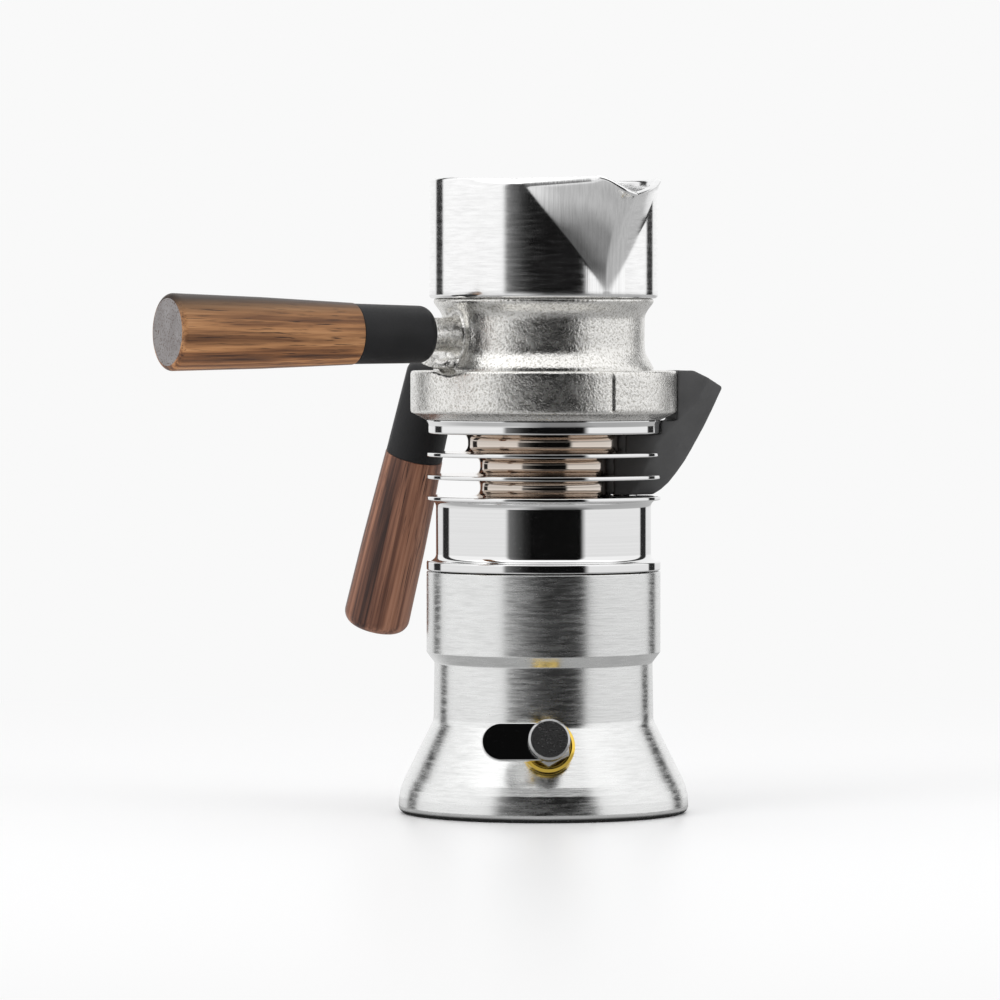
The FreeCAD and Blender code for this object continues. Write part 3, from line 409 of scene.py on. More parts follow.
materials = {
    "brushed_shell": brushed_metal("brushed_stainless", (0.86, 0.865, 0.86), 0.23, 0.04, 2300.0),
    "polished_shell": polished_metal("polished_stainless", (0.865, 0.865, 0.865), 0.05),
    # The neck's last colour is painted shade, darker and warmer, deep between its fins.
    "polished_neck": polished_metal("polished_neck_metal", (0.87, 0.87, 0.87), 0.05, (0.66, 0.59, 0.53)),
    "polished_cup": brushed_metal("satin_cup_steel", (0.965, 0.965, 0.965), 0.12, 0.02, 2200.0, True),
    "polished_lever": polished_metal("mirror_lever_steel", (0.80, 0.80, 0.80), 0.04),
    "rough_casting": cast_metal("tumbled_casting", (0.86, 0.85, 0.825), (0.50, 0.485, 0.45)),
    "valve_brass": polished_metal("turned_brass", (0.95, 0.66, 0.12), 0.16),
    "valve_steel": polished_metal("turned_valve_steel", (0.52, 0.52, 0.52), 0.22),
    "spring_steel": polished_metal("spring_wire", (0.60, 0.60, 0.60), 0.20),
    "inner_brass": polished_metal("inner_brass_metal", (0.80, 0.60, 0.30), 0.20),
    "copper_tube": polished_metal("drawn_copper", (0.80, 0.45, 0.32), 0.18),
    "basket_steel": polished_metal("pressed_basket_steel", (0.72, 0.72, 0.72), 0.16),
    "seal_rubber": moulded("black_seal_rubber", (0.016, 0.016, 0.016), 0.62, 2500.0, 0.2),
    "black_silicone": moulded("matt_black_silicone", (0.066, 0.066, 0.067), 0.60, 2200.0, 0.12),
    "black_moulding": moulded("black_grained_moulding", (0.011, 0.011, 0.012), 0.50, 1900.0, 0.45),
}
front_walnut = walnut(
    "front_walnut", front_place,
    ((0.028, 0.012, 0.007), (0.125, 0.052, 0.020), (0.275, 0.130, 0.052), (0.420, 0.225, 0.105)),
    # Painted light and shade: much lighter below the handle's axis, much darker at its top.
    [(0.06, 1.9), (0.25, 1.8), (0.42, 1.15), (0.62, 1.25), (0.76, 0.95), (0.85, 0.42), (0.94, 0.10)])
rear_walnut = walnut(
    "rear_walnut", rear_place,
    ((0.030, 0.013, 0.010), (0.135, 0.056, 0.034), (0.285, 0.130, 0.078), (0.410, 0.210, 0.135)),
    # Painted light and shade: a little lighter low down, a little darker high up.
    [(0.3, 1.1), (0.8, 0.95)])
sheen_painted_end = end_grain("walnut_end_grain_with_painted_sheen")


# Mesh making

def outline(corners):
    """Closed list of points through corners (x, z, round), with each round as a tangent arc."""
    points = []
    count = len(corners)
    for index in range(count):
        here = Vector(corners[index][:2])
        radius = corners[index][2] if len(corners[index]) > 2 else 0.0
        if radius == 0.0:
            points.append(here)
            continue
        back = (Vector(corners[index - 1][:2]) - here).normalized()
        ahead = (Vector(corners[(index + 1) % count][:2]) - here).normalized()
        half = back.angle(ahead) / 2
        reach = radius / math.tan(half)
        centre = here + (back + ahead).normalized() * (radius / math.sin(half))
        first = here + back * reach - centre
        last = here + ahead * reach - centre
        sweep = math.pi - 2 * half
        side = 1 if first.x * last.y - first.y * last.x > 0 else -1
        steps = max(2, math.ceil(math.degrees(sweep) / ARC_STEP))
        for step in range(steps + 1):
            turn = side * sweep * step / steps
            points.append(centre + Vector((first.x * math.cos(turn) - first.y * math.sin(turn),
                                           first.x * math.sin(turn) + first.y * math.cos(turn))))
    return points


def edged(points):
    """Points with two more near the ends of each long run, which keep its smooth shading flat."""
    made = []
    for here, following in zip(points, points[1:] + points[:1]):
        made.append(here)
        run = following - here
        if run.length > LONG_RUN:
            made.append(here + run.normalized() * RUN_EDGE)
            made.append(following - run.normalized() * RUN_EDGE)
    return made


def placed(name, data):
    """Object with its data, in the scene."""
    made = bpy.data.objects.new(name, data)
    bpy.context.scene.collection.objects.link(made)
    return made


def mesh_piece(name, shape):
    """Object from a bmesh, with outward faces, smooth shading and sharp edges by angle."""
    bmesh.ops.remove_doubles(shape, verts=shape.verts, dist=1e-7)
    bmesh.ops.recalc_face_normals(shape, faces=shape.faces)
    if shape.calc_volume(signed=True) < 0:
        bmesh.ops.reverse_faces(shape, faces=shape.faces)
    mesh = bpy.data.meshes.new(name)
    shape.to_mesh(mesh)
    shape.free()
    shade(mesh)
    return placed(name, mesh)


def shade(mesh, angle=SHARP_ANGLE):
    """Smooth shading with sharp edges where faces meet at more than an angle."""
    mesh.polygons.foreach_set("use_smooth", [True] * len(mesh.polygons))
    mesh.set_sharp_from_angle(angle=math.radians(angle))


def span(shape, low, high):
    """Faces between two rings of vertices, where a ring of one vertex is a pole."""
    count = max(len(low), len(high))
    for step in range(count):
        following = (step + 1) % count
        corners = [low[step % len(low)], low[following % len(low)],
                   high[following % len(high)], high[step % len(high)]]
        face = list(dict.fromkeys(corners))
        if len(face) > 2:
            shape.faces.new(face)


def turned(name, corners, segments=LARGE_TURN, place=None):
    """Solid turned about the upright axis, or about a line, from a closed profile."""
    shape = bmesh.new()
    rings = []
    for point in edged(outline(corners)):
        if point.x < 1e-6:
            rings.append([shape.verts.new((0, 0, point.y * MM))])
            continue
        rings.append([shape.verts.new((point.x * MM * math.cos(math.tau * step / segments),
                                       point.x * MM * math.sin(math.tau * step / segments), point.y * MM))
                      for step in range(segments)])
    for index in range(len(rings)):
        span(shape, rings[index - 1], rings[index])
    if place is not None:
        shape.transform(place)
    return mesh_piece(name, shape)


def rod(name, radius, low, high, place=None, segments=SMALL_TURN):
    """Cylinder between two levels in millimetres, upright or along a line."""
    return turned(name, [(0, low), (radius, low), (radius, high), (0, high)], segments, place)


def block(name, low, high, azimuth):
    """Cutter: a box between two corners in millimetres, turned about the upright axis."""
    shape = bmesh.new()
    bmesh.ops.create_cube(shape, size=1.0)
    size = Vector(high) - Vector(low)
    middle = (Vector(high) + Vector(low)) / 2
    shape.transform(Matrix.Rotation(math.radians(azimuth), 4, "Z")
                    @ Matrix.Translation(middle * MM) @ Matrix.Diagonal((*(size * MM), 1)))
    return mesh_piece(name, shape)


def join_or_cut(piece, tools, operation="DIFFERENCE"):
    """Boolean of a piece with tool pieces, which are removed."""
    for tool in tools:
        cut = piece.modifiers.new("cut", "BOOLEAN")
        cut.operation = operation
        cut.solver = "EXACT"
        cut.object = tool
    settle(piece)
    for tool in tools:
        bpy.data.objects.remove(tool)
    return piece


def merged_copy(node, name):
    """Copy of a CAD node with its loose triangles merged."""
    shape = bmesh.new()
    shape.from_mesh(nodes[node].data)
    bmesh.ops.remove_doubles(shape, verts=shape.verts, dist=1e-6)
    mesh = bpy.data.meshes.new(name)
    shape.to_mesh(mesh)
    shape.free()
    shade(mesh)
    return placed(name, mesh)


def settle(piece):
    """Piece with its modifiers made part of its mesh."""
    settled = bpy.data.meshes.new_from_object(piece.evaluated_get(bpy.context.evaluated_depsgraph_get()))
    piece.modifiers.clear()
    piece.data = settled
    shade(piece.data)
    return piece


def eased(piece, width):
    """Piece with its sharp edges rounded a little, by a width in millimetres."""
    ease = piece.modifiers.new("ease", "BEVEL")
    ease.width = width * MM
    ease.segments = 2
    ease.limit_method = "ANGLE"
    ease.angle_limit = math.radians(35)
    return settle(piece)


def fit_out(piece, body, slot, *stands_for, material=None):
    """Gives a piece its material and says which body it rides on and which nodes it stands for."""
    if material is None:
        material = materials[slot]
    if not piece.data.materials:
        piece.data.materials.append(material)
    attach(piece, body)
    if stands_for:
        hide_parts(*stands_for)
    return piece


# Lower boiler

def lower_boiler():
    """Bell, waist, step and barrel, with the bore seen when the upper part is off."""
    slant = BOILER_WALL / math.cos(math.radians(BELL_SLOPE))
    inner_crease = CREASE_HEIGHT + WAIST_RADIUS - BORE_RADIUS - slant
    foot_bore, seat_radius, seat = 41.5, 33.5, boiler_top - 2.1
    corners = [(foot_bore, 0), (BASE_RADIUS, 0, 2.3), (BASE_RADIUS, 6.9, 19.0),
               (WAIST_RADIUS, CREASE_HEIGHT, 4.0), (WAIST_RADIUS - 0.3, 47.7, 0.6),
               (BARREL_RADIUS, 51.0, 0.4), (BARREL_RADIUS, boiler_top, 0.3),
               (seat_radius, boiler_top), (seat_radius, seat), (BORE_RADIUS, seat),
               (BORE_RADIUS, inner_crease, 4.0), (43.0, 6.2, 13.0), (43.0, 3.0), (foot_bore, 3.0)]
    piece = turned("lower_boiler_shell", corners)
    join_or_cut(piece, [rod("facing", VALVE_FLANGE + 0.6, 1.0, 12.0, valve_place)])
    fit_out(piece, "base", "brushed_shell", "lower_boiler")


def upper_boiler():
    """Polished shell with a flange, concave flares and its deck edge."""
    flange = shell_low + 2.9
    under = deck_top - FIN_THICKNESS
    inner = 31.3
    floor = deck_top - DECK_DEPTH
    corners = [(inner, shell_low), (BARREL_RADIUS, shell_low, 0.4), (BARREL_RADIUS, flange, 0.5),
               (UPPER_BOILER_RADIUS, flange, 2.2), (UPPER_BOILER_RADIUS, under, 2.2),
               (BARREL_RADIUS, under, 0.3), (BARREL_RADIUS, deck_top, 0.4),
               (SPIGOT_RADIUS, deck_top), (SPIGOT_RADIUS, floor), (inner, floor)]
    piece = turned("upper_boiler_polished", corners)
    fit_out(piece, "upper", "polished_shell", "upper_boiler_shell")


def finned_neck():
    """Neck with two fins and the top disc, notched for the filling spout."""
    low_top = fin_low + FIN_THICKNESS
    high_top = fin_high + FIN_THICKNESS
    bore, foot = 3.0, deck_top - 10.2
    lip, dish, ridge, groove, well = 37.2, 32.7, 27.9, 27.1, 25.5
    corners = [(bore, foot), (SPIGOT_RADIUS, foot), (SPIGOT_RADIUS, deck_top),
               (NECK_RADIUS + FIN_FILLET, deck_top), (NECK_RADIUS, deck_top + 0.1, FIN_FILLET),
               (NECK_RADIUS, fin_low, FIN_FILLET),
               (BARREL_RADIUS, fin_low, 0.3), (BARREL_RADIUS, low_top, 0.3),
               (NECK_RADIUS, low_top, FIN_FILLET), (NECK_RADIUS, fin_high, FIN_FILLET),
               (BARREL_RADIUS, fin_high, 0.3), (BARREL_RADIUS, high_top, 0.3),
               (THROAT_RADIUS, high_top, FIN_FILLET), (THROAT_RADIUS, disc_low, FIN_FILLET),
               (DISC_RADIUS, disc_low, 0.6), (DISC_RADIUS, neck_top - 1.6, 1.5),
               (lip, neck_top - 0.3, 0.1), (lip, neck_top), (dish, neck_top), (dish, neck_top - 1.5),
               (ridge, neck_top - 1.5), (ridge, neck_top), (groove, neck_top), (groove, neck_top - 1.2),
               (well, neck_top - 1.2), (well, neck_top - 3.0), (bore, neck_top - 3.0)]
    piece = turned("finned_neck_polished", corners)
    half = FILLER_HALF_WIDTH + NOTCH_SPARE
    middle = fin_high - 0.5
    low_notch = block("low_notch", (NECK_RADIUS + FIN_FILLET_SIDE, -half, deck_top + 0.2),
                      (NOTCH_REACH, half, middle), FILLER_AZIMUTH)
    high_notch = block("high_notch", (THROAT_RADIUS + FIN_FILLET_SIDE, -half, middle),
                       (NOTCH_REACH, half, disc_low - 0.5), FILLER_AZIMUTH)
    join_or_cut(piece, [low_notch, high_notch])
    fit_out(piece, "upper", "polished_neck", "finned_neck")


def cast_copy(node, name, cutters, blended=None, fillers=(), voxel=CAST_VOXEL):
    """Copy of a CAD node with even fine faces, soft edges, blended corners and a slightly uneven skin."""
    piece = join_or_cut(join_or_cut(merged_copy(node, name), cutters), fillers, "UNION")
    remesh = piece.modifiers.new("remesh", "REMESH")
    remesh.mode = "VOXEL"
    remesh.voxel_size = voxel * MM
    settle(piece)
    shape = bmesh.new()
    shape.from_mesh(piece.data)
    corner = [vertex for vertex in shape.verts if blended is not None and blended(vertex.co)]
    for verts, times in ((corner, BLEND_SMOOTHING), (shape.verts, CAST_SMOOTHING)):
        for _ in range(times):
            bmesh.ops.smooth_vert(shape, verts=verts, factor=0.5,
                                  use_axis_x=True, use_axis_y=True, use_axis_z=True)
    shape.normal_update()
    for vertex in shape.verts:
        wave = smooth_noise.noise(vertex.co * 420.0)
        vertex.co += vertex.normal * (wave - 0.5) * CAST_UNEVENNESS * MM
    shape.to_mesh(piece.data)
    shape.free()
    shade(piece.data, 80)
    return piece


def castings():
    """Locking ring with its index mark, and brew head whose stub stands in a ridged hollow."""
    inverse = front_place.inverted()

    def near_stub(spot):
        """Whether a place is where the handle's stub runs into the head."""
        local = inverse @ spot / MM
        beside = -14.5 < local.z < -1.5 and math.hypot(local.x, local.y) < 14.0
        return beside and spot.z > (ring_top + 1.2) * MM

    mark = block("mark", (RING_RADIUS - 0.6, -MARK_HALF_WIDTH, neck_top + 3.0),
                 (RING_RADIUS + 2, MARK_HALF_WIDTH, ring_top - 1.6), MARK_AZIMUTH)
    stub, depth = 5.7, -10.1
    hollow = turned("hollow", [(stub, depth), (8.4, depth, 0.8), (8.8, 0.0), (stub, 0.0)],
                    SMALL_TURN, front_place)
    fit_out(cast_copy("group_ring", "locking_ring_casting", [mark]), "upper", "rough_casting", "group_ring")
    head = cast_copy("brew_head", "brew_head_casting", [hollow], near_stub, voxel=HEAD_VOXEL)
    fit_out(head, "head", "rough_casting", "brew_head")


def teardrop_radius(turn, radius, reach):
    """Distance from the axis of a circle with a spout, whose flat flanks start a little inside the circle."""
    turn = abs(turn)
    crease = flank_angle(radius, reach)
    if reach <= 0 or turn >= crease:
        return radius
    sunk = radius - POUR_SINK * min(1.0, crease / math.radians(15))
    side = crease + math.acos(sunk / radius)
    centre = (sunk - POUR_TIP_ROUND) / math.cos(side)
    end = math.atan2(POUR_TIP_ROUND * math.sin(side), centre + POUR_TIP_ROUND * math.cos(side))
    if turn >= end:
        return max(radius, sunk / math.cos(turn - side))
    tip = math.sqrt(max(0.0, POUR_TIP_ROUND ** 2 - (centre * math.sin(turn)) ** 2))
    return max(radius, centre * math.cos(turn) + tip)


def flank_angle(radius, reach):
    """Angle from the tip at which the spout's flanks leave the circle."""
    return math.acos(min(1.0, (radius - POUR_TIP_ROUND) / (radius + max(0.0, reach) - POUR_TIP_ROUND)))


def eased_step(value, low, high):
    """Zero below one value and one above another, with an even rise between."""
    share = min(1.0, max(0.0, (value - low) / (high - low)))
    return share * share * (3 - 2 * share)


def rim_height(reach):
    """Level of the cup's rim at a distance along the direction in which it dips."""
    slope = math.radians(LIP_DIP_SLOPE)
    start = LIP_DIP_START - LIP_DIP_ROUND * math.tan(slope / 2)
    stop = start + LIP_DIP_ROUND * math.sin(slope)
    if reach <= start:
        return cup_top
    if reach <= stop:
        return cup_top - LIP_DIP_ROUND + math.sqrt(LIP_DIP_ROUND ** 2 - (reach - start) ** 2)
    return cup_top - (reach - LIP_DIP_START) * math.tan(slope)


def cup():
    """Thin cup whose wall is drawn out to a spout, with a rounded rim that dips and flares at the lip."""
    radius, wall, floor = CUP_RADIUS, CUP_WALL, head_top + CUP_FLOOR
    count, steps, cap_steps = 320, 48, 8
    foot, inner_round = CUP_FOOT_ROUND, 2.0
    start = head_top + POUR_START
    low = head_top + foot
    angles = [math.tau * step / count - 0.8 * math.sin(math.tau * step / count) for step in range(count)]

    def spout_reach(height):
        """How far the spout's tip stands out at a height."""
        return POUR_REACH * max(0.0, (height - start) / (cup_top - start)) ** POUR_GROWTH

    def lean(near, below):
        """How far the wall leans out, or in, at an angle from the tip and a depth below the edge."""
        turn = near * 90 / (LIP_FLARE_LEFT if near < 0 else LIP_FLARE_RIGHT)
        flare = math.cos(turn) ** 2 if abs(turn) < math.pi / 2 else 0.0
        flare *= LIP_FLARE * (0.4 + 0.6 * eased_step(math.degrees(near), -5.0, 30.0))
        left = -math.degrees(near)
        roll = RIM_ROLL * eased_step(left, *RIM_ROLL_TURN[:2]) * (1 - eased_step(left, *RIM_ROLL_TURN[2:]))
        return (flare * max(0.0, 1 - below / LIP_FLARE_HEIGHT) ** 2
                - roll * max(0.0, 1 - below / RIM_ROLL_HEIGHT) ** 2)

    def wall_point(turn, height, edge):
        """Point of the outer wall at an angle from the tip and a height, under an edge."""
        near = math.remainder(turn, math.tau)
        reach = teardrop_radius(near, radius, spout_reach(height)) + lean(near, edge - height)
        return Vector((reach * math.cos(turn), reach * math.sin(turn), height))

    def edge_of(turn):
        """Height at which the rounded rim starts, so that its top follows the rim's level."""
        height = cup_top - wall / 2
        dip = math.radians(LIP_DIP_TURN)
        for _ in range(30):
            point = wall_point(turn, height, height)
            slope = (point.xy.length - wall_point(turn, height - 0.3, height).xy.length) / 0.3
            rise = RIM_SPARE + wall / 2 * (1 + max(0.0, slope) / math.hypot(1, slope))
            along_dip = point.x * math.cos(dip) + point.y * math.sin(dip) - wall / 2
            height += 0.6 * (rim_height(along_dip) - rise - height)
        return height

    edges = [edge_of(turn) for turn in angles]
    climbs = [1 - (1 - step / steps) ** 1.5 for step in range(steps + 1)]
    grid = [[wall_point(turn, low + (edge - low) * climb, edge) for turn, edge in zip(angles, edges)]
            for climb in climbs]

    def ways(row, column):
        """Outward and upward directions of the wall at a point of its grid."""
        across = grid[row][(column + 1) % count] - grid[row][column - 1]
        upward = grid[min(row + 1, steps)][column] - grid[max(row - 1, 0)][column]
        return across.cross(upward).normalized(), upward.normalized()

    def circle(reach, height):
        """Ring of points round the axis."""
        return [Vector((math.cos(t), math.sin(t), 0)) * reach + Vector((0, 0, height)) for t in angles]

    rounds = [(math.sin(math.radians(a)), math.cos(math.radians(a))) for a in range(0, 91, 15)]
    levels = [[Vector((0, 0, head_top))]]
    levels += [circle(radius - foot + foot * out, low - foot * down) for out, down in rounds[:-1]]
    levels += grid
    rim = [ways(steps, column) for column in range(count)]
    for part in range(1, cap_steps):
        out, rise = math.cos(math.pi * part / cap_steps), math.sin(math.pi * part / cap_steps)
        levels.append([point + (outward * (out - 1) + upward * rise) * (wall / 2)
                       for point, (outward, upward) in zip(grid[steps], rim)])
    for row in range(steps, 0, -1):
        if min(point.z for point in grid[row]) > floor + inner_round + 0.3:
            levels.append([grid[row][column] - ways(row, column)[0] * wall for column in range(count)])
    levels += [circle(radius - wall - inner_round + inner_round * out,
                      floor + inner_round - inner_round * down) for out, down in reversed(rounds)]
    levels.append([Vector((0, 0, floor))])
    shape = bmesh.new()
    rings = [[shape.verts.new(point * MM) for point in ring] for ring in levels]
    for low_ring, high_ring in zip(rings, rings[1:]):
        span(shape, low_ring, high_ring)
    shape.transform(Matrix.Rotation(math.radians(POUR_AZIMUTH), 4, "Z"))
    piece = mesh_piece("espresso_cup_satin", shape)
    join_or_cut(piece, [rod("hole", 5.0, head_top - 1, floor + 1)])
    flank = piece.data.attributes.new("near_flank", "FLOAT", "POINT")
    for vertex, mark in zip(piece.data.vertices, flank.data):
        turn = math.remainder(math.atan2(vertex.co.y, vertex.co.x) - math.radians(POUR_AZIMUTH), math.tau)
        side = flank_angle(radius, spout_reach(vertex.co.z / MM))
        share = (side + turn + FLANK_FADE) / FLANK_FADE
        mark.value = min(1.0, max(0.0, share)) if turn < FLANK_END else 0.0
    fit_out(piece, "head", "polished_cup", "espresso_cup")


def handle(name, place, ferrule, grip, body, wood):
    """Ferrule and grip of one handle; the grip's cut end has end grain."""
    start_radius, end_radius, length = ferrule
    recess, depth = 5.45, 2.05
    corners = [(STUD_RADIUS, depth), (recess, depth), (recess, 0), (start_radius, 0, 3.8),
               (end_radius, length, 0.3), (STUD_RADIUS, length)]
    sleeve = turned(name + "_ferrule_moulded", corners, SMALL_TURN, place)
    fit_out(sleeve, body, "black_moulding", name + "_ferrule")
    low_radius, high_radius, start, grip_length, end_round = grip
    high = start + grip_length
    middle = (low_radius + high_radius) / 2 + 0.25
    corners = [(STUD_RADIUS, start), (low_radius, start, 0.4), (middle, start + grip_length / 2, 150.0),
               (high_radius, high, end_round), (0, high), (0, STUD_END), (STUD_RADIUS, STUD_END)]
    wood_piece = turned(name + "_grip_walnut", corners, SMALL_TURN * 2, place)
    wood_piece.data.materials.append(wood)
    wood_piece.data.materials.append(sheen_painted_end)
    inverse = place.inverted()
    way = place.to_3x3() @ Vector((0, 0, 1))
    for face in wood_piece.data.polygons:
        if (inverse @ face.center).z > (high - 0.02) * MM and face.normal.dot(way) > 0.98:
            face.material_index = 1
    fit_out(wood_piece, body, "walnut", name + "_grip", material=wood)


def lining(mirrored):
    """Closed strip just behind one of the beak's two faces, where the hollow comes very close to them."""
    shape = bmesh.new()
    shape.from_mesh(nodes["filler_spout"].data)
    skin = BVHTree.FromBMesh(shape)
    shape.free()
    shape = bmesh.new()
    rings = []
    inward = Vector((0, MM, 0))
    for height in LINING_LEVELS:
        middle = LINING_MIDDLE + LINING_SLOPE * (height - LINING_LEVELS[0])
        starts = [Vector((middle + 0.5 * step, -100, height)) * MM for step in range(-5, 6)]
        front = [skin.ray_cast(start, inward.normalized())[0] for start in starts]
        ring = [point + inward * LINING_START for point in front]
        ring += [point + inward * LINING_END for point in reversed(front)]
        rings.append([shape.verts.new(point) for point in ring])
    for low_ring, high_ring in zip(rings, rings[1:]):
        span(shape, low_ring, high_ring)
    shape.faces.new(rings[0])
    shape.faces.new(rings[-1])
    bmesh.ops.triangulate(shape, faces=shape.faces)
    if mirrored:
        turn = Matrix.Rotation(math.radians(FILLER_AZIMUTH), 4, "Z")
        shape.transform(turn @ Matrix.Scale(-1, 4, (0, 1, 0)) @ turn.inverted())
    bmesh.ops.recalc_face_normals(shape, faces=shape.faces)
    return mesh_piece("lining", shape)


def filler_spout():
    """Black beak, with even faces and softened edges."""
    moulded = cast_copy("filler_spout", "filler_spout_moulded", [], fillers=[lining(False), lining(True)])
    fit_out(moulded, "upper", "black_silicone", "filler_spout")


def safety_valve():
    """Turned pieces of the safety valve, each on the valve's own axis."""
    flange_top, face_radius, neck_radius = 4.8, 6.9, 4.5
    bore, thread = 1.6, 5.6
    dish = flange_top - 0.5
    body = turned("safety_valve_brass",
                  [(bore, -6), (thread, -6, 0.5), (thread, 1.6), (VALVE_FLANGE, 1.6, 0.4),
                   (VALVE_FLANGE, flange_top - 0.9, 0.6), (VALVE_FLANGE - 0.9, flange_top, 0.6),
                   (face_radius, flange_top, 0.3), (6.5, dish, 0.3), (neck_radius, dish), (neck_radius, -5),
                   (bore, -5)], SMALL_TURN, valve_place)
    fit_out(body, "base", "valve_brass", "safety_valve_body")
    low = flange_top + 4.4 + 0.4 + 2.2
    high = low + 3.6
    knob = turned("safety_valve_knob_turned",
                  [(0, low), (KNOB_RADIUS - 0.4, low), (KNOB_RADIUS, low + 0.4, 0.2),
                   (KNOB_RADIUS, high - 0.7, 0.15), (KNOB_RADIUS - 0.7, high, 0.15), (0, high)],
                  SMALL_TURN, valve_place)
    fit_out(knob, "safety_stem", "valve_steel", "safety_valve_knob")
    lever = merged_copy("safety_valve_lever", "safety_valve_lever_polished")
    fit_out(lever, "safety_stem", "polished_lever", "safety_valve_lever")
    cap = eased(merged_copy("safety_valve_cap", "safety_valve_cap_turned"), 0.2)
    fit_out(cap, "base", "valve_steel", "safety_valve_cap")


def node_group(name, numbers):
    """Geometry node group with a geometry input, named number inputs with their values, and its ends."""
    group = bpy.data.node_groups.new(name, "GeometryNodeTree")
    group.interface.new_socket("Geometry", in_out="INPUT", socket_type="NodeSocketGeometry")
    for label in numbers:
        group.interface.new_socket(label, in_out="INPUT", socket_type="NodeSocketFloat")
    group.interface.new_socket("Geometry", in_out="OUTPUT", socket_type="NodeSocketGeometry")
    return group, add(group, "NodeGroupInput"), add(group, "NodeGroupOutput")


def raised(group, geometry, height):
    """Geometry lifted by a number socket."""
    lift = add(group, "ShaderNodeCombineXYZ", {"Z": height}).outputs[0]
    inputs = {"Geometry": geometry, "Translation": lift}
    return add(group, "GeometryNodeTransform", inputs).outputs["Geometry"]


def realized(group, geometry):
    """Geometry with its instances made real."""
    return add(group, "GeometryNodeRealizeInstances", {0: geometry}).outputs[0]


def end_group(group, geometry, slot, end):
    """Sends geometry out of a group with its material."""
    skin = add(group, "GeometryNodeSetMaterial", {"Geometry": geometry, "Material": materials[slot]})
    group.links.new(skin.outputs["Geometry"], end.inputs["Geometry"])


def run_group(piece, group, numbers):
    """Applies a node group to a piece with its inputs set by identifier."""
    modifier = piece.modifiers.new(group.name, "NODES")
    modifier.node_group = group
    for item in group.interface.items_tree:
        if item.in_out == "INPUT" and item.name in numbers:
            modifier[item.identifier] = numbers[item.name]
    return settle(piece)


def filter_basket():
    """Pressed basket whose end is pierced with small holes on a grid."""
    low, high = level("filter_basket", 0), level("filter_basket", 1)
    inner = BASKET_RADIUS - BASKET_WALL
    rim = low + 1.0
    corners = [(inner, low), (BASKET_RIM_RADIUS, low, 0.3), (BASKET_RIM_RADIUS, rim, 0.3),
               (BASKET_RADIUS, rim, 0.3), (BASKET_RADIUS, high, 2.5), (0, high),
               (0, high - BASKET_FLOOR), (inner, high - BASKET_FLOOR, 1.8)]
    piece = turned("filter_basket_pressed", corners)
    numbers = {"Width": 0.045, "Reach": 0.0225, "Hole Radius": 0.00045,
               "Level": (high - BASKET_FLOOR / 2) * MM}
    group, start, end = node_group("pierce", numbers)
    width = start.outputs["Width"]
    grid = add(group, "GeometryNodeMeshGrid",
               {"Size X": width, "Size Y": width, "Vertices X": 17, "Vertices Y": 17})
    from_axis = length_of(group, add(group, "GeometryNodeInputPosition").outputs[0])
    inside = add(group, "FunctionNodeCompare", operation="LESS_THAN")
    group.links.new(from_axis, inside.inputs["A"])
    group.links.new(start.outputs["Reach"], inside.inputs["B"])
    pin = add(group, "GeometryNodeMeshCylinder",
              {"Vertices": 10, "Depth": 0.003, "Radius": start.outputs["Hole Radius"]})
    spread = add(group, "GeometryNodeInstanceOnPoints",
                 {"Points": grid.outputs["Mesh"], "Selection": inside.outputs["Result"],
                  "Instance": pin.outputs["Mesh"]})
    pins = raised(group, realized(group, spread.outputs["Instances"]), start.outputs["Level"])
    cut = add(group, "GeometryNodeMeshBoolean", {"Mesh 1": start.outputs["Geometry"], "Mesh 2": pins},
              operation="DIFFERENCE", solver="EXACT")
    end_group(group, cut.outputs["Mesh"], "basket_steel", end)
    run_group(piece, group, numbers)
    fit_out(piece, "basket", "basket_steel", "filter_basket")


def plug_thread():
    """Thread on the plug: a fine ridge that winds up a spiral."""
    foot = level("boiler_plug", 0) + 1.5
    height = shell_low - 1.0 - foot
    numbers = {"Radius": THREAD_RADIUS * MM, "Height": height * MM, "Turns": height / THREAD_PITCH,
               "Ridge": 0.2 * MM, "Foot": foot * MM}
    piece = rod("boiler_plug_thread", 1.0, foot, foot + 1.0, segments=8)
    group, start, end = node_group("wind", numbers)
    radius = start.outputs["Radius"]
    spiral = add(group, "GeometryNodeCurveSpiral",
                 {"Resolution": 90, "Rotations": start.outputs["Turns"], "Start Radius": radius,
                  "End Radius": radius, "Height": start.outputs["Height"]})
    section = add(group, "GeometryNodeCurvePrimitiveCircle",
                  {"Resolution": 6, "Radius": start.outputs["Ridge"]})
    ridge = add(group, "GeometryNodeCurveToMesh",
                {"Fill Caps": True, "Curve": spiral.outputs["Curve"],
                 "Profile Curve": section.outputs["Curve"]})
    wound = realized(group, raised(group, ridge.outputs["Mesh"], start.outputs["Foot"]))
    end_group(group, wound, "inner_brass", end)
    run_group(piece, group, numbers)
    fit_out(piece, "upper", "inner_brass")


def carried_over():
    """CAD nodes that keep their shape, with finished materials."""
    slots = {row["node"]: row["material_slot"] for row in frame["record"]["subparts"]}
    for name, node in nodes.items():
        node.data.materials.clear()
        node.data.materials.append(materials.get(slots[name], front_walnut))


lower_boiler()
upper_boiler()
finned_neck()
castings()
cup()
handle("front_handle", front_place, (8.95, 9.45, 26.9), (9.65, 12.02, 26.9, 63.6, 1.8), "head", front_walnut)
handle("rear_handle", rear_place, (8.6, 9.25, 31.5), (9.4, 10.8, 31.5, 59.7, 4.5), "upper", rear_walnut)
filler_spout()
safety_valve()
filter_basket()
plug_thread()
carried_over()


# Studio

BACKDROP = (0.947, 0.947, 0.947)
STRIPS_MIDDLE = 0.045


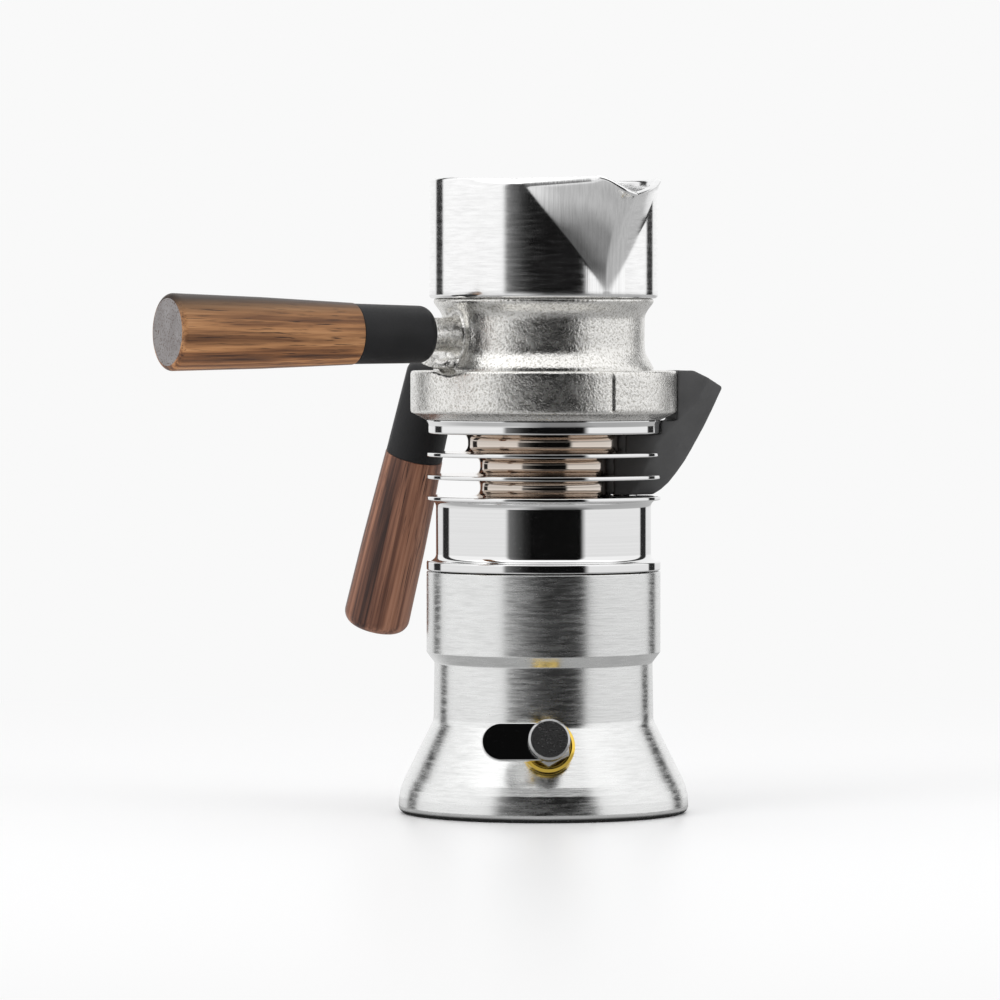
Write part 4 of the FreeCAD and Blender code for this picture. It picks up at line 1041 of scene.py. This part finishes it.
def studio_world():
    """White to the camera; in reflections a studio with a dark camera side and two dark strips behind."""
    world = bpy.data.worlds.new("studio")
    bpy.context.scene.world = world
    world.cycles.sampling_method = "NONE"
    world.use_nodes = True
    tree = world.node_tree
    tree.nodes.clear()
    direction = add(tree, "ShaderNodeTexCoord").outputs["Generated"]
    split = add(tree, "ShaderNodeSeparateXYZ", {"Vector": direction})
    turned_y = math_node(tree, "MULTIPLY", split.outputs["Y"], -1.0)
    bearing = math_node(tree, "ARCTAN2", split.outputs["X"], turned_y)
    across = math_node(tree, "ADD", math_node(tree, "DIVIDE", bearing, math.tau), 0.5)
    from_middle = math_node(tree, "ABSOLUTE", math_node(tree, "SUBTRACT", bearing, STRIPS_MIDDLE))
    away = math_node(tree, "DIVIDE", from_middle, math.pi)
    level_up = math_node(tree, "ADD", math_node(tree, "MULTIPLY", split.outputs["Z"], 0.5), 0.5)
    walls = ramp(tree, level_up, [(0.475, 0.84), (0.505, 1.03), (1.0, 1.04)])
    front = ramp(tree, across, [(0.0, 1.0), (0.385, 1.0), (0.397, 0.20), (0.42, 0.09), (0.445, 0.022),
                                (0.465, 0.004), (0.612, 0.004), (0.628, 1.0), (1.0, 1.0)])
    strips = ramp(tree, away, [(0.0, 1.0), (0.686, 1.0), (0.70, 0.03), (0.772, 0.03), (0.788, 0.95),
                               (1.0, 0.95)])
    ceiling = ramp(tree, level_up, [(0.0, 0.0), (0.795, 0.0), (0.86, 1.0)])
    top_light = ramp(tree, across, [(0.0, 1.28), (0.2, 1.55), (0.35, 1.5), (0.46, 1.25), (1.0, 1.25)])
    lit = mix_colour(tree, ceiling, mix_colour(tree, 1.0, front, walls, "MULTIPLY"), top_light)
    room = mix_colour(tree, 1.0, lit, strips, "MULTIPLY")
    low_table = ramp(tree, across, [(0.0, 0.47), (0.35, 0.50), (0.435, 0.52), (0.465, 0.36), (0.50, 0.24),
                                    (0.60, 0.24), (0.66, 0.42), (1.0, 0.47)])
    high_table = ramp(tree, across, [(0.0, 0.80), (0.42, 0.80), (0.47, 0.38), (0.505, 0.10), (0.60, 0.10),
                                     (0.66, 0.45), (1.0, 0.50)])
    table = mix_colour(tree, ramp(tree, level_up, [(0.24, 0.0), (0.36, 1.0)]), low_table, high_table)
    near_table = ramp(tree, level_up, [(0.06, 1.0), (0.16, 0.0)])
    table = mix_colour(tree, near_table, table, (0.47, 0.47, 0.47))
    room = mix_colour(tree, ramp(tree, level_up, [(0.44, 1.0), (0.465, 0.0)]), room, table)
    paths = add(tree, "ShaderNodeLightPath")
    reflected, refracted = paths.outputs["Is Glossy Ray"], paths.outputs["Is Transmission Ray"]
    mirrored = math_node(tree, "MAXIMUM", reflected, refracted)
    seen = mix_colour(tree, mirrored, (0.96, 0.96, 0.96), room)
    seen = mix_colour(tree, paths.outputs["Is Camera Ray"], seen, BACKDROP)
    background = add(tree, "ShaderNodeBackground", {"Strength": 1.0, "Color": seen})
    add(tree, "ShaderNodeOutputWorld", {"Surface": background.outputs["Background"]})


def soft_lamp(name, place, size, power):
    """Square softbox that looks at the object and lights its rough and matt pieces."""
    lamp = bpy.data.lights.new(name, "AREA")
    lamp.size = size
    lamp.energy = power
    made = placed(name, lamp)
    made.location = place
    made.rotation_euler = (Vector((0, 0, 0.1)) - Vector(place)).to_track_quat("-Z", "Y").to_euler()
    made.visible_glossy = False


def mix_shader(tree, factor, first, second):
    """Mix of two shader sockets."""
    return add(tree, "ShaderNodeMixShader", {0: factor, 1: first, 2: second}).outputs[0]


def pale_floor():
    """Pale table that fades into the white background and keeps the object's shadow; in reflections it shows
    a painted shadow under the foot.
    """
    shape = bmesh.new()
    bmesh.ops.create_grid(shape, x_segments=1, y_segments=1, size=6.0)
    floor = mesh_piece("pale_floor", shape)
    made = bpy.data.materials.new("pale_table")
    made.use_nodes = True
    tree = made.node_tree
    tree.nodes.clear()
    surface = add(tree, "ShaderNodeBsdfPrincipled",
                  {"Base Color": (0.90, 0.90, 0.905, 1), "Roughness": 0.35, "Specular IOR Level": 0.3})
    far = add(tree, "ShaderNodeEmission", {"Color": (*BACKDROP, 1), "Strength": 1.0})
    paths = add(tree, "ShaderNodeLightPath")
    distance = length_of(tree, add(tree, "ShaderNodeTexCoord").outputs["Object"])
    foot_way = math_node(tree, "MULTIPLY", distance, 10.0)
    round_foot = ramp(tree, foot_way, [(0.70, 0.0), (0.90, 1.0)])
    # Painted shadow: glossy rays see a near black glow under the foot and flat grey just around it.
    painted_foot_shadow = add(tree, "ShaderNodeEmission",
                    {"Color": ramp(tree, foot_way, [(0.46, 0.02), (0.478, 0.45)])})
    clear = add(tree, "ShaderNodeBsdfTransparent")
    mirrored = mix_shader(tree, round_foot, painted_foot_shadow.outputs[0], clear.outputs[0])
    fade = ramp(tree, math_node(tree, "MULTIPLY", distance, 0.5), [(0.05, 0.0), (0.30, 1.0)])
    blend = mix_shader(tree, fade, surface.outputs[0], far.outputs[0])
    seen = mix_shader(tree, paths.outputs["Is Glossy Ray"], blend, mirrored)
    add(tree, "ShaderNodeOutputMaterial", {"Surface": seen})
    floor.data.materials.append(made)


def camera():
    """Camera level with the handles, far off, looking a little down at the frame's centre."""
    lens = bpy.data.cameras.new("camera")
    lens.lens = FOCAL_LENGTH
    lens.sensor_width = SENSOR_WIDTH
    lens.clip_end = 100.0
    made = placed("camera", lens)
    made.location = (0, -CAMERA_DISTANCE, CAMERA_HEIGHT)
    aim = Vector((FRAME_CENTRE_X, 0, FRAME_CENTRE_Z)) - made.location
    made.rotation_euler = aim.to_track_quat("-Z", "Y").to_euler()
    bpy.context.scene.camera = made


studio_world()
soft_lamp("left_softbox", (-1.1, -1.0, 1.2), 0.9, 7.0)
soft_lamp("right_softbox", (1.2, -0.7, 0.9), 0.8, 4.0)
pale_floor()
camera()
bpy.context.scene.view_settings.view_transform = "Standard"
